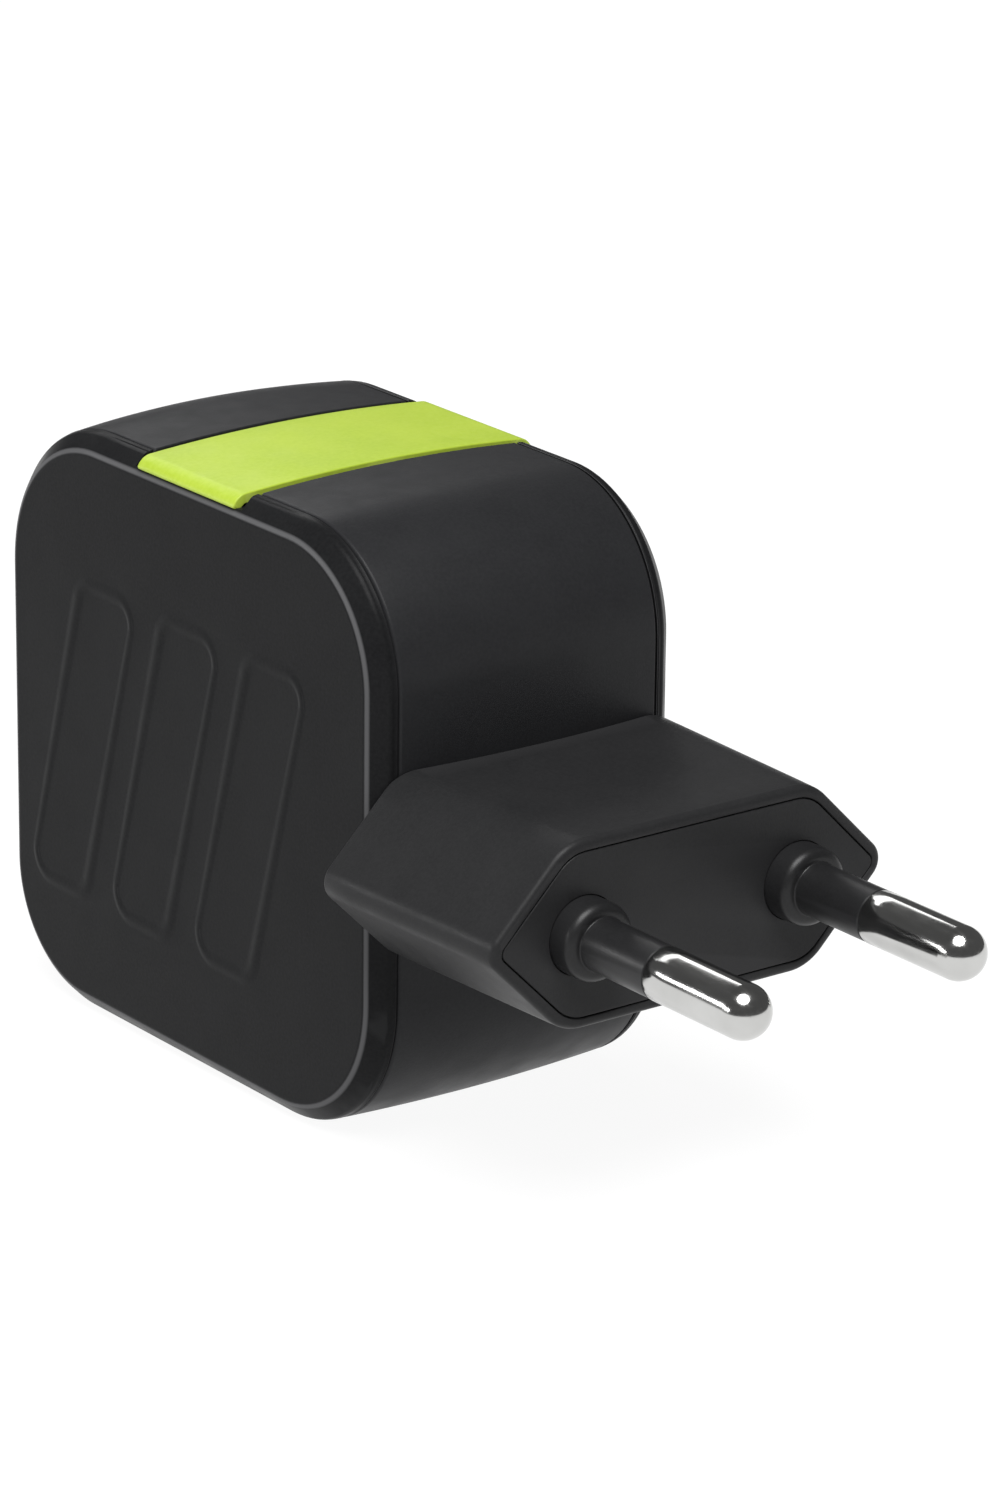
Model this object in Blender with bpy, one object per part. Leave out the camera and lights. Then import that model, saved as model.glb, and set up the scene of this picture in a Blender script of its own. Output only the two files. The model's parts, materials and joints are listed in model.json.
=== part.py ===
"""Compact wall charger with a fixed two-pin plug block, built as it comes apart on a bench.

Metres, +Z up.  +Y points out of the charging port, -Y is the way the plug goes into a wall,
and X runs across the narrow case.  The origin is under the middle of the whole object.
"""

from math import cos, pi, radians, sin, sqrt, tan

import bmesh
import bpy
from mathutils import Vector

MM = 0.001

# Fits
GAP = 0.3 * MM                      # clearance between pieces that touch or seat
CUT_OVERRUN = 1.0 * MM              # how far a cutter runs past the face that it opens

# Case
BODY_WIDTH = 27.0 * MM              # X, over the flat side covers
BODY_DEPTH = 49.9 * MM              # Y, over the crowned front and rear
BODY_HEIGHT = 46.6 * MM             # Z, to the crown of the top
TOP_CROWN = 0.50 * MM               # how far the top bulges between the side covers
END_CROWN = 0.75 * MM               # the same for the front and the rear
CORNER_BOTTOM_REAR = 10.0 * MM
CORNER_TOP_REAR = 12.3 * MM
CORNER_TOP_FRONT = 10.9 * MM
CORNER_BOTTOM_FRONT = 12.0 * MM
WALL = 2.2 * MM
COVER_EDGE = 1.9 * MM               # width of the side cover's visible edge band
COVER_FILLET = 1.3 * MM             # rounding between a side cover's face and its edge band
LIP_LENGTH = 2.0 * MM               # how far a cover's lip reaches into the case
LIP_THICKNESS = 1.2 * MM

# Coloured inlay across the top
INLAY_WIDTH = 13.0 * MM             # Y
INLAY_OFFSET = 0.25 * MM            # from the body's middle to the inlay's, towards the plug
INLAY_SEAT = 0.9 * MM               # depth of its channel in the case
INLAY_PROUD = 0.2 * MM
INLAY_WRAP = 65.0                   # degrees that each hook turns down round the case's edge
INLAY_HOOK = 0.2 * MM               # how far the hook runs on below that turn
INLAY_LIP = 1.4 * MM                # thickness of the hooks that turn down over the side covers
INLAY_EDGE = 0.25 * MM

# Plug block and pins, to the flat two-pin plug standard
PLUG_Z = 22.9 * MM
BLOCK_LENGTH = 18.2 * MM            # from the front of the case to the plug face
BLOCK_BASE_HALF_WIDTH = 18.8 * MM   # to the sharp corner that the tip radius rounds off
BLOCK_FACE_HALF_WIDTH = 18.0 * MM
BLOCK_HALF_HEIGHT = 7.0 * MM
BLOCK_WALL = 2.0 * MM
BLOCK_TIP_RADIUS = 1.6 * MM         # left and right corners of the six-sided section
BLOCK_RIDGE_RADIUS = 4.0 * MM       # the four soft ridges
BLOCK_RIM_RADIUS = 0.5 * MM
BLOCK_RIM_WIDTH = 0.6 * MM          # from the block's side to the face plate's recess
BLOCK_LEDGE = 1.3 * MM              # step that the face plate rests on
NECK_HALF_HEIGHT = 4.6 * MM
NECK_WALL = 1.3 * MM
FACE_PLATE_THICKNESS = 1.8 * MM
PIN_SPACING = 19.0 * MM
PIN_DIAMETER = 4.0 * MM
PIN_LENGTH = 19.5 * MM              # from the plug face to the tip
PIN_METAL_LENGTH = 10.2 * MM        # bare metal, the rest is sleeved
PIN_TIP_FLAT = 0.3 * MM             # radius of the blunt middle of the round tip
PIN_SHANK_DIAMETER = 2.2 * MM
PIN_TAIL_LENGTH = 8.0 * MM          # behind the plug face
SLEEVE_COLLAR_DIAMETER = 5.8 * MM
SLEEVE_COLLAR_LENGTH = 1.9 * MM     # in front of the plug face
SLEEVE_SEAT_DEPTH = 0.6 * MM        # of the pocket in the plug face that the collar sits in
SLEEVE_FLANGE_DIAMETER = 7.0 * MM
SLEEVE_FLANGE_LENGTH = 1.3 * MM
LEAD_DIAMETER = 1.2 * MM
LEAD_HALF_SPACING = 4.2 * MM        # where the leads pass through the neck
LEAD_RISE = 1.6 * MM                # one lead passes above the plug's axis, the other below

# Charging port, its long side upright
PORT_HALF_WIDTH = 1.6 * MM
PORT_HALF_HEIGHT = 4.45 * MM
PORT_CORNER_SHARE = 0.98            # its corner radius, of its half width
PORT_SHEET = 0.3 * MM
PORT_LENGTH = 7.3 * MM
PORT_RECESS = 0.6 * MM              # its mouth, inside the rear of the bezel
TONGUE_THICKNESS = 0.7 * MM
TONGUE_LENGTH = 4.6 * MM
BEZEL_MARGIN = 2.2 * MM             # width of the bezel round the port
BEZEL_FLANGE = 1.2 * MM             # how much wider it is behind the wall
BEZEL_FLANGE_LENGTH = 1.0 * MM

# Electronics
BOARD_THICKNESS = 1.2 * MM
BOARD_STANDOFF = 2.6 * MM           # from the left cover to the main board
BOARD_MARGIN = 1.0 * MM             # from the case's inner walls
PORT_BOARD_THICKNESS = 1.0 * MM
PORT_BOARD_MARGIN = 5.3 * MM        # above and below the port
CHIP_HEIGHT = 1.2 * MM
CHIP_EDGE = 0.15 * MM
PACKAGE_EDGE = 0.3 * MM             # rounding of the larger moulded parts
SPREADER_THICKNESS = 0.8 * MM
SHEET_THICKNESS = 0.3 * MM
SPREADER_MARGIN = 4.4 * MM          # from the case's inner walls
MAINS_BAY_SHARE = 0.275             # front part of the inside, with the mains filter
OUTPUT_BAY_SHARE = 0.300            # rear part, with the port
LOWER_DECK_SHARE = 0.420            # height of the transformer's bay
CORE_PLATE = 2.4 * MM               # thickness of the ferrite across the winding's ends
CORE_LEG = 1.8 * MM                 # thickness of its outer legs
BOBBIN_WALL = 0.6 * MM
TUBE_SHARE = 0.62                   # radius of the bobbin's tube, of the winding's
CHOKE_WIRE = 0.9 * MM               # depth of the winding round the choke's ring
CHOKE_HALF_WIDTH = 2.4 * MM
CHOKE_BORE_SHARE = 0.5              # inner radius of its ring, of the outer one
CHOKE_HALF_TURN = 58.0              # degrees of the ring that half a winding covers
CAN_EDGE_SHARE = 0.12               # rounding of a can's rims, of its radius
CAN_GROOVE_SHARE = 0.90             # radius in the groove over the seal, of the can's
CAN_GROOVE_PLACES = (0.10, 0.14, 0.18)  # start, middle and end of the groove, of its length
OUTPUT_CAN_RADIUS = 3.0 * MM
OUTPUT_CAN_LENGTH = 9.0 * MM
FILM_DEPTH = 5.2 * MM
FILM_RISE = 5.6 * MM                # its foot, above the plug's axis
FILM_HEADROOM = 3.4 * MM            # from the insulation sheet, and below the top wall
FILM_EDGE = 0.5 * MM
FUSE_RADIUS = 1.9 * MM
FUSE_LENGTH = 8.0 * MM
FUSE_RISE = 5.2 * MM                # its foot, above the plug's axis
FUSE_EDGE = 0.4 * MM
RECTIFIER_HEIGHT = 2.3 * MM
RECTIFIER_LENGTH = 7.3 * MM
RECTIFIER_HALF_WIDTH = 4.1 * MM
RECTIFIER_RISE = 0.5 * MM           # its middle, above the plug's axis
DISC_RADIUS = 3.4 * MM
DISC_DEPTH = 2.4 * MM
DISC_EDGE = 0.6 * MM
OPTOCOUPLER_LENGTH = 4.6 * MM
OPTOCOUPLER_HEIGHT = 6.4 * MM
PORT_CHIP_SIDE = 4.0 * MM
SWITCH_CHIP_HALF = (4.0 * MM, 3.0 * MM)     # half length along Y and half height along Z
SWITCH_CHIP_OFFSET = (-3.0 * MM, 2.0 * MM)  # from the body's middle and the transformer's deck
SYNC_CHIP_HALF = (2.5 * MM, 3.0 * MM)
SYNC_CHIP_OFFSET = (4.0 * MM, 3.0 * MM)     # from the start of the output bay and the port

# Facets
CORNER_STEPS = 8
FILLET_STEPS = 3
CHOKE_STEPS = 10
SMALL_ROUND_STEPS = 16
LEAD_STEPS = 4
ROUND_STEPS = 24
SECTIONS = 8

# Derived places
TOTAL_LENGTH = BODY_DEPTH + BLOCK_LENGTH + PIN_LENGTH
BODY_REAR_Y = TOTAL_LENGTH / 2
BODY_FRONT_Y = BODY_REAR_Y - BODY_DEPTH
BODY_MIDDLE_Y = BODY_REAR_Y - BODY_DEPTH / 2
PLUG_FACE_Y = BODY_FRONT_Y - BLOCK_LENGTH
HALF_WIDTH = BODY_WIDTH / 2
CROWN_HALF_WIDTH = HALF_WIDTH - COVER_FILLET
SEAM_X = HALF_WIDTH - COVER_EDGE
WRAP_HALF_WIDTH = SEAM_X - GAP
NECK_HALF_WIDTH = SEAM_X - LIP_LENGTH - GAP
TOP_EDGE_Z = BODY_HEIGHT - TOP_CROWN
PORT_Z = BODY_HEIGHT / 2
INLAY_MIDDLE_Y = BODY_MIDDLE_Y - INLAY_OFFSET
INSIDE_FRONT_Y = BODY_FRONT_Y + END_CROWN + WALL
INSIDE_REAR_Y = BODY_REAR_Y - END_CROWN - WALL
INSIDE_DEPTH = INSIDE_REAR_Y - INSIDE_FRONT_Y
NECK_END_Y = INSIDE_FRONT_Y + BOARD_MARGIN - GAP
INSIDE_HEIGHT = TOP_EDGE_Z - 2 * WALL
BOARD_FACE_X = -SEAM_X + BOARD_STANDOFF + BOARD_THICKNESS
STACK_TOP_X = SEAM_X - 2 * GAP - SPREADER_THICKNESS - GAP - SHEET_THICKNESS - GAP
MAINS_BAY_Y = INSIDE_FRONT_Y + MAINS_BAY_SHARE * INSIDE_DEPTH
OUTPUT_BAY_Y = INSIDE_REAR_Y - OUTPUT_BAY_SHARE * INSIDE_DEPTH
DECK_Z = WALL + LOWER_DECK_SHARE * INSIDE_HEIGHT
PORT_BOARD_HALF_HEIGHT = PORT_HALF_HEIGHT + PORT_BOARD_MARGIN
PORT_BOARD_BACK_X = -PORT_HALF_WIDTH - GAP - PORT_BOARD_THICKNESS


# ---- Materials -------------------------------------------------------------------------------

def principled(name, colour, roughness, metallic=0.0):
    """A Principled material with one colour, roughness and metallic value."""
    material = bpy.data.materials.new(name)
    material.use_nodes = True
    shader = material.node_tree.nodes["Principled BSDF"]
    shader.inputs["Base Color"].default_value = (*colour, 1.0)
    shader.inputs["Roughness"].default_value = roughness
    shader.inputs["Metallic"].default_value = metallic
    material.diffuse_color = (*colour, 1.0)
    return material


def make_materials():
    """Every material, by the name of its finish."""
    return {
        "case_plastic": principled("case_plastic", (0.035, 0.036, 0.039), 0.55),
        "plug_plastic": principled("plug_plastic", (0.028, 0.028, 0.030), 0.50),
        "inlay_plastic": principled("inlay_plastic", (0.52, 0.74, 0.08), 0.45),
        "sleeve_plastic": principled("sleeve_plastic", (0.020, 0.020, 0.022), 0.40),
        "pin_metal": principled("pin_metal", (0.80, 0.79, 0.77), 0.12, 1.0),
        "bezel_plastic": principled("bezel_plastic", (0.015, 0.015, 0.017), 0.45),
        "port_steel": principled("port_steel", (0.62, 0.62, 0.63), 0.28, 1.0),
        "tongue_plastic": principled("tongue_plastic", (0.02, 0.02, 0.02), 0.50),
        "lead_copper": principled("lead_copper", (0.75, 0.38, 0.20), 0.30, 1.0),
        "board_laminate": principled("board_laminate", (0.03, 0.16, 0.07), 0.45),
        "ferrite": principled("ferrite", (0.06, 0.06, 0.065), 0.60),
        "bobbin_plastic": principled("bobbin_plastic", (0.05, 0.05, 0.05), 0.50),
        "winding_tape": principled("winding_tape", (0.78, 0.56, 0.06), 0.35),
        "enamelled_wire": principled("enamelled_wire", (0.55, 0.20, 0.06), 0.35, 0.6),
        "capacitor_sleeve": principled("capacitor_sleeve", (0.03, 0.05, 0.12), 0.35),
        "polymer_can": principled("polymer_can", (0.72, 0.72, 0.73), 0.30, 1.0),
        "film_box": principled("film_box", (0.70, 0.58, 0.10), 0.45),
        "disc_ceramic": principled("disc_ceramic", (0.10, 0.26, 0.50), 0.45),
        "fuse_body": principled("fuse_body", (0.25, 0.14, 0.08), 0.50),
        "chip_epoxy": principled("chip_epoxy", (0.02, 0.02, 0.02), 0.50),
        "spreader_aluminium": principled("spreader_aluminium", (0.75, 0.75, 0.76), 0.35, 1.0),
        "insulation_film": principled("insulation_film", (0.80, 0.80, 0.76), 0.40),
    }


# ---- Outlines, as lists of points on a plane ---------------------------------------------------

def rounded_polygon(corners, radii, steps=CORNER_STEPS):
    """A closed outline through the corners, each turned into an arc of its own radius."""
    points = []
    count = len(corners)
    for i, radius in enumerate(radii):
        corner = Vector(corners[i])
        back = (Vector(corners[i - 1]) - corner).normalized()
        ahead = (Vector(corners[(i + 1) % count]) - corner).normalized()
        half_angle = back.angle(ahead) / 2
        centre = corner + (back + ahead).normalized() * radius / sin(half_angle)
        start = corner + back * radius / tan(half_angle) - centre
        turn = (pi - 2 * half_angle) / steps
        if back.cross(ahead) > 0:
            turn = -turn
        for step in range(steps + 1):
            angle = turn * step
            points.append((centre.x + start.x * cos(angle) - start.y * sin(angle),
                           centre.y + start.x * sin(angle) + start.y * cos(angle)))
    return points


def rectangle(half_u, half_v, radius, steps=CORNER_STEPS):
    """A rounded rectangle round the origin, anticlockwise."""
    corners = ((half_u, -half_v), (half_u, half_v), (-half_u, half_v), (-half_u, -half_v))
    return rounded_polygon(corners, (radius,) * 4, steps)


def hexagon(half_width, half_height, inset=0.0):
    """The plug's six-sided outline with 45 degree flanks, its flats in short steps, moved inwards."""
    width = half_width - inset * sqrt(2)
    height = half_height - inset
    flat = width - height
    tip = max(BLOCK_TIP_RADIUS - inset, GAP)
    ridge = max(BLOCK_RIDGE_RADIUS - inset, GAP)
    corners = ((width, 0), (flat, height), (-flat, height),
               (-width, 0), (-flat, -height), (flat, -height))
    steps = FILLET_STEPS + 1
    outline = rounded_polygon(corners, (tip, ridge, ridge, tip, ridge, ridge), steps)
    top_end, bottom_end = 2 * (steps + 1) - 1, 5 * (steps + 1) - 1
    return (outline[:top_end] + between(outline[top_end], outline[top_end + 1])
            + outline[top_end + 1:bottom_end] + between(outline[bottom_end], outline[bottom_end + 1])
            + outline[bottom_end + 1:])


def between(start, end):
    """The start of a straight flat and the points that divide it evenly, without its end."""
    a, b = Vector(start), Vector(end)
    return [tuple(a.lerp(b, i / SECTIONS)) for i in range(SECTIONS)]


def circle(radius, steps=ROUND_STEPS):
    """A circle round the origin, anticlockwise."""
    angles = [2 * pi * i / steps for i in range(steps)]
    return [(radius * cos(angle), radius * sin(angle)) for angle in angles]


def crown(x):
    """How much of the full bulge the case has at a place across its width, from 1 to 0."""
    return max(0.0, 1.0 - (x / CROWN_HALF_WIDTH) ** 2)


def body_outline(x, inset=0.0):
    """The case's side outline (y, z) at a place across its width, moved inwards by the inset."""
    end_loss = END_CROWN * (1.0 - crown(x)) + inset
    top = BODY_HEIGHT - TOP_CROWN * (1.0 - crown(x)) - inset
    front = BODY_FRONT_Y + end_loss
    rear = BODY_REAR_Y - end_loss
    corners = ((rear, inset), (rear, top), (front, top), (front, inset))
    radii = (CORNER_BOTTOM_REAR, CORNER_TOP_REAR, CORNER_TOP_FRONT, CORNER_BOTTOM_FRONT)
    return rounded_polygon(corners, [radius - inset for radius in radii])


# ---- Solids ------------------------------------------------------------------------------------

def new_object(name, bm, material, smooth_angle=35.0):
    """Turns a bmesh into a named object with one material and smooth round faces."""
    bmesh.ops.recalc_face_normals(bm, faces=bm.faces)
    mesh = bpy.data.meshes.new(name)
    bm.to_mesh(mesh)
    bm.free()
    if material:
        mesh.materials.append(material)
    mesh.shade_smooth()
    mesh.set_sharp_from_angle(angle=radians(smooth_angle))
    piece = bpy.data.objects.new(name, mesh)
    bpy.context.scene.collection.objects.link(piece)
    return piece


def loft(name, rings, material, closed=False):
    """A solid through rings of equally many points; closed joins the last ring to the first."""
    bm = bmesh.new()
    loops = [[bm.verts.new(point) for point in ring] for ring in rings]
    pairs = list(zip(loops, loops[1:]))
    if closed:
        pairs.append((loops[-1], loops[0]))
    else:
        bm.faces.new(loops[0])
        bm.faces.new(loops[-1])
    for low, high in pairs:
        for i in range(len(low)):
            bm.faces.new((low[i - 1], low[i], high[i], high[i - 1]))
    return new_object(name, bm, material)


def ring_x(outline, x, y=0.0, z=0.0):
    """An outline of (y, z) points, placed across X."""
    return [(x, y + u, z + v) for u, v in outline]


def ring_y(outline, y, x=0.0, z=0.0):
    """An outline of (x, z) points, placed across Y."""
    return [(x + u, y, z + v) for u, v in outline]


def ring_front(outline):
    """An outline of (x, z) points round the plug's axis, laid on the crowned front of the case."""
    return [(u, BODY_FRONT_Y + END_CROWN * (1.0 - crown(u)) - GAP, PLUG_Z + v) for u, v in outline]


def ring_z(outline, z, x=0.0, y=0.0):
    """An outline of (x, y) points, placed across Z."""
    return [(x + u, y + v, z) for u, v in outline]


def block(name, low, high, material, edge=0.0):
    """A box between two corners; edge rounds it with a bevel."""
    bm = bmesh.new()
    bmesh.ops.create_cube(bm, size=1.0)
    size = Vector(high) - Vector(low)
    bmesh.ops.scale(bm, vec=size, verts=bm.verts)
    bmesh.ops.translate(bm, vec=(Vector(low) + Vector(high)) / 2, verts=bm.verts)
    piece = new_object(name, bm, material)
    if edge:
        bevel = piece.modifiers.new("edges", "BEVEL")
        bevel.width = edge
        bevel.segments = 2
    return piece


def cut(piece, tool, operation="DIFFERENCE"):
    """Takes a hidden tool solid out of a piece, or adds it with UNION."""
    tool.hide_render = True
    tool.display_type = "WIRE"
    boolean = piece.modifiers.new(tool.name, "BOOLEAN")
    boolean.operation = operation
    boolean.solver = "EXACT"
    boolean.object = tool


# ---- Case --------------------------------------------------------------------------------------

def make_case_wrap(material):
    """Front, top, rear and bottom walls in one moulding, open at both sides."""
    rings = []
    for i in range(SECTIONS + 1):
        x = WRAP_HALF_WIDTH * (2 * i / SECTIONS - 1)
        rings.append(ring_x(body_outline(x), x))
    for x in (WRAP_HALF_WIDTH, -WRAP_HALF_WIDTH):
        rings.append(ring_x(body_outline(CROWN_HALF_WIDTH, WALL), x))
    return loft("case_wrap", rings, material, closed=True)


def make_side_cover(name, side, material):
    """A flat side cover with a rounded edge band and a lip that plugs into the case."""
    rings = []
    for i in range(FILLET_STEPS + 1):
        angle = pi / 2 * i / FILLET_STEPS
        x = HALF_WIDTH - COVER_FILLET * (1 - cos(angle))
        rings.append((x, body_outline(CROWN_HALF_WIDTH, COVER_FILLET * (1 - sin(angle)))))
    lip = body_outline(CROWN_HALF_WIDTH, WALL + GAP)
    inside = body_outline(CROWN_HALF_WIDTH, WALL + GAP + LIP_THICKNESS)
    rings.append((SEAM_X, body_outline(SEAM_X)))
    rings.append((SEAM_X, lip))
    rings.append((SEAM_X - LIP_LENGTH, lip))
    rings.append((SEAM_X - LIP_LENGTH, inside))
    rings.append((SEAM_X, inside))
    return loft(name, [ring_x(outline, side * x) for x, outline in rings], material)


def hook_end():
    """The outer (x, z) place where a hook of the inlay stops turning and runs straight down."""
    radius = COVER_FILLET + INLAY_PROUD
    angle = pi / 2 - radians(INLAY_WRAP)
    return (CROWN_HALF_WIDTH + radius * cos(angle), TOP_EDGE_Z - COVER_FILLET + radius * sin(angle))


def inlay_section():
    """The inlay's (x, z) section: a crowned strip with a hook at each end."""
    outer_radius = COVER_FILLET + INLAY_PROUD
    end_x, end_z = hook_end()
    hook_z = end_z - INLAY_HOOK
    right = []
    for i in range(FILLET_STEPS + 1):
        angle = pi / 2 - radians(INLAY_WRAP) * (1 - i / FILLET_STEPS)
        z = TOP_EDGE_Z - COVER_FILLET + outer_radius * sin(angle)
        right.append((CROWN_HALF_WIDTH + outer_radius * cos(angle), z))
    top = []
    for i in range(1, SECTIONS):
        x = CROWN_HALF_WIDTH * (1 - 2 * i / SECTIONS)
        top.append((x, TOP_EDGE_Z + INLAY_PROUD + TOP_CROWN * crown(x)))
    left = [(-x, z) for x, z in reversed(right)]
    hook_x = end_x - INLAY_LIP
    seat_z = TOP_EDGE_Z - INLAY_SEAT + GAP
    below = [(-end_x, hook_z), (-hook_x, hook_z), (-hook_x, seat_z),
             (hook_x, seat_z), (hook_x, hook_z), (end_x, hook_z)]
    return right + top + left + below


def make_top_inlay(material):
    """The coloured strip across the top, hooked over both side covers."""
    section = inlay_section()
    rings = [ring_y(section, INLAY_MIDDLE_Y + side * INLAY_WIDTH / 2) for side in (-1, 1)]
    piece = loft("top_inlay", rings, material)
    bevel = piece.modifiers.new("edges", "BEVEL")
    bevel.width = INLAY_EDGE
    bevel.segments = 2
    return piece


def cut_inlay_seat(case_wrap, covers):
    """The channel in the case and the deeper notches in the covers that the inlay sits in."""
    low_y = INLAY_MIDDLE_Y - INLAY_WIDTH / 2 - GAP
    high_y = INLAY_MIDDLE_Y + INLAY_WIDTH / 2 + GAP
    far_x = HALF_WIDTH + CUT_OVERRUN
    high_z = BODY_HEIGHT + CUT_OVERRUN
    low = (-far_x, low_y, TOP_EDGE_Z - INLAY_SEAT)
    cut(case_wrap, block("inlay_channel", low, (far_x, high_y, high_z), None))
    notch_z = hook_end()[1] - INLAY_HOOK - GAP
    near_x = SEAM_X - GAP
    for side, cover in covers:
        ends = sorted((side * near_x, side * far_x))
        low = (ends[0], low_y, notch_z)
        cut(cover, block(f"{cover.name}_notch", low, (ends[1], high_y, high_z), None))


# ---- Plug --------------------------------------------------------------------------------------

def make_plug_block(material):
    """The hollow six-sided block, with a recessed front and a neck that enters the case."""
    base = hexagon(BLOCK_BASE_HALF_WIDTH, BLOCK_HALF_HEIGHT)
    neck_outer = hexagon(NECK_HALF_WIDTH, NECK_HALF_HEIGHT)
    neck_inner = hexagon(NECK_HALF_WIDTH, NECK_HALF_HEIGHT, NECK_WALL)
    ledge_y = PLUG_FACE_Y + FACE_PLATE_THICKNESS + GAP
    rings = [ring_front(neck_outer), ring_front(base)]
    for i in range(FILLET_STEPS + 1):
        angle = pi / 2 * i / FILLET_STEPS
        inset = BLOCK_RIM_RADIUS * (1 - cos(angle))
        outline = hexagon(BLOCK_FACE_HALF_WIDTH, BLOCK_HALF_HEIGHT, inset)
        rings.append(ring_y(outline, PLUG_FACE_Y + BLOCK_RIM_RADIUS * (1 - sin(angle)), z=PLUG_Z))
    recess = hexagon(BLOCK_FACE_HALF_WIDTH, BLOCK_HALF_HEIGHT, BLOCK_RIM_WIDTH)
    hollow = hexagon(BLOCK_FACE_HALF_WIDTH, BLOCK_HALF_HEIGHT, BLOCK_RIM_WIDTH + BLOCK_LEDGE)
    back_y = BODY_FRONT_Y - BLOCK_WALL
    rings += [ring_y(recess, PLUG_FACE_Y, z=PLUG_Z), ring_y(recess, ledge_y, z=PLUG_Z),
              ring_y(hollow, ledge_y, z=PLUG_Z), ring_y(hollow, back_y, z=PLUG_Z),
              ring_y(neck_inner, back_y, z=PLUG_Z), ring_y(neck_inner, NECK_END_Y, z=PLUG_Z),
              ring_y(neck_outer, NECK_END_Y, z=PLUG_Z)]
    return loft("plug_block", rings, material, closed=True)


def cut_neck_opening(case_wrap):
    """The opening in the front of the case that the plug block's neck passes through."""
    outline = hexagon(NECK_HALF_WIDTH, NECK_HALF_HEIGHT, -GAP)
    ends = (BODY_FRONT_Y - CUT_OVERRUN, BODY_FRONT_Y + END_CROWN + WALL + CUT_OVERRUN)
    cutter = loft("neck_opening", [ring_y(outline, y, z=PLUG_Z) for y in ends], None)
    cut(case_wrap, cutter)


def make_face_plate(material):
    """The six-sided plate set into the front of the plug block, bored for both sleeves."""
    outline = hexagon(BLOCK_FACE_HALF_WIDTH, BLOCK_HALF_HEIGHT, BLOCK_RIM_WIDTH + GAP)
    ends = (PLUG_FACE_Y, PLUG_FACE_Y + FACE_PLATE_THICKNESS)
    plate = loft("plug_face_plate", [ring_y(outline, y, z=PLUG_Z) for y in ends], material)
    bores = (("bore", PIN_DIAMETER / 2 + GAP, FACE_PLATE_THICKNESS + CUT_OVERRUN),
             ("seat", SLEEVE_COLLAR_DIAMETER / 2 + GAP, SLEEVE_SEAT_DEPTH))
    for side, x in pin_places():
        for kind, radius, depth in bores:
            ends = (PLUG_FACE_Y - CUT_OVERRUN, PLUG_FACE_Y + depth)
            rings = [ring_y(circle(radius), y, x=x, z=PLUG_Z) for y in ends]
            cut(plate, loft(f"{side}_sleeve_{kind}", rings, None))
    return plate


def pin_places():
    """The side and the X position of each pin."""
    return (("left", -PIN_SPACING / 2), ("right", PIN_SPACING / 2))


def make_pin(side, x, material):
    """A round-tipped contact pin on a thinner shank that runs back through its sleeve."""
    radius = PIN_DIAMETER / 2
    shank = PIN_SHANK_DIAMETER / 2
    tip_y = PLUG_FACE_Y - PIN_LENGTH
    shoulder_y = tip_y + PIN_METAL_LENGTH
    profile = [(PIN_TIP_FLAT, tip_y)]
    for i in range(1, CORNER_STEPS + 1):
        angle = pi / 2 * i / CORNER_STEPS
        profile.append((radius * sin(angle), tip_y + radius * (1 - cos(angle))))
    profile += [(radius, shoulder_y), (shank, shoulder_y), (shank, PLUG_FACE_Y + PIN_TAIL_LENGTH)]
    rings = [ring_y(circle(r), y, x=x, z=PLUG_Z) for r, y in profile]
    return loft(f"{side}_pin", rings, material)


def make_sleeve(side, x, material):
    """The insulating sleeve: a collar on the plug face, a tube along the pin, a flange behind."""
    outer = PIN_DIAMETER / 2
    inner = PIN_SHANK_DIAMETER / 2 + GAP
    collar = SLEEVE_COLLAR_DIAMETER / 2
    flange = SLEEVE_FLANGE_DIAMETER / 2
    front = PLUG_FACE_Y - PIN_LENGTH + PIN_METAL_LENGTH + GAP
    collar_front = PLUG_FACE_Y - SLEEVE_COLLAR_LENGTH - GAP
    collar_back = PLUG_FACE_Y + SLEEVE_SEAT_DEPTH - GAP
    plate_back = PLUG_FACE_Y + FACE_PLATE_THICKNESS + GAP
    back = plate_back + SLEEVE_FLANGE_LENGTH
    profile = [(inner, front), (outer, front), (outer, collar_front - GAP),
               (collar - GAP, collar_front), (collar, collar_front + GAP), (collar, collar_back),
               (outer, collar_back), (outer, plate_back), (flange, plate_back),
               (flange, back), (inner, back)]
    rings = [ring_y(circle(r), y, x=x, z=PLUG_Z) for r, y in profile]
    return loft(f"{side}_pin_sleeve", rings, material, closed=True)


def smooth_path(points):
    """Points along a smooth curve through the given ones (Catmull-Rom)."""
    knots = [Vector(point) for point in points]
    knots = [2 * knots[0] - knots[1]] + knots + [2 * knots[-1] - knots[-2]]
    path = []
    for a, b, c, d in zip(knots, knots[1:], knots[2:], knots[3:]):
        for i in range(LEAD_STEPS):
            t = i / LEAD_STEPS
            path.append(0.5 * (2 * b + (c - a) * t + (2 * a - 5 * b + 4 * c - d) * t * t
                               + (3 * b - 3 * c + d - a) * t ** 3))
    path.append(knots[-2])
    return path


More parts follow.
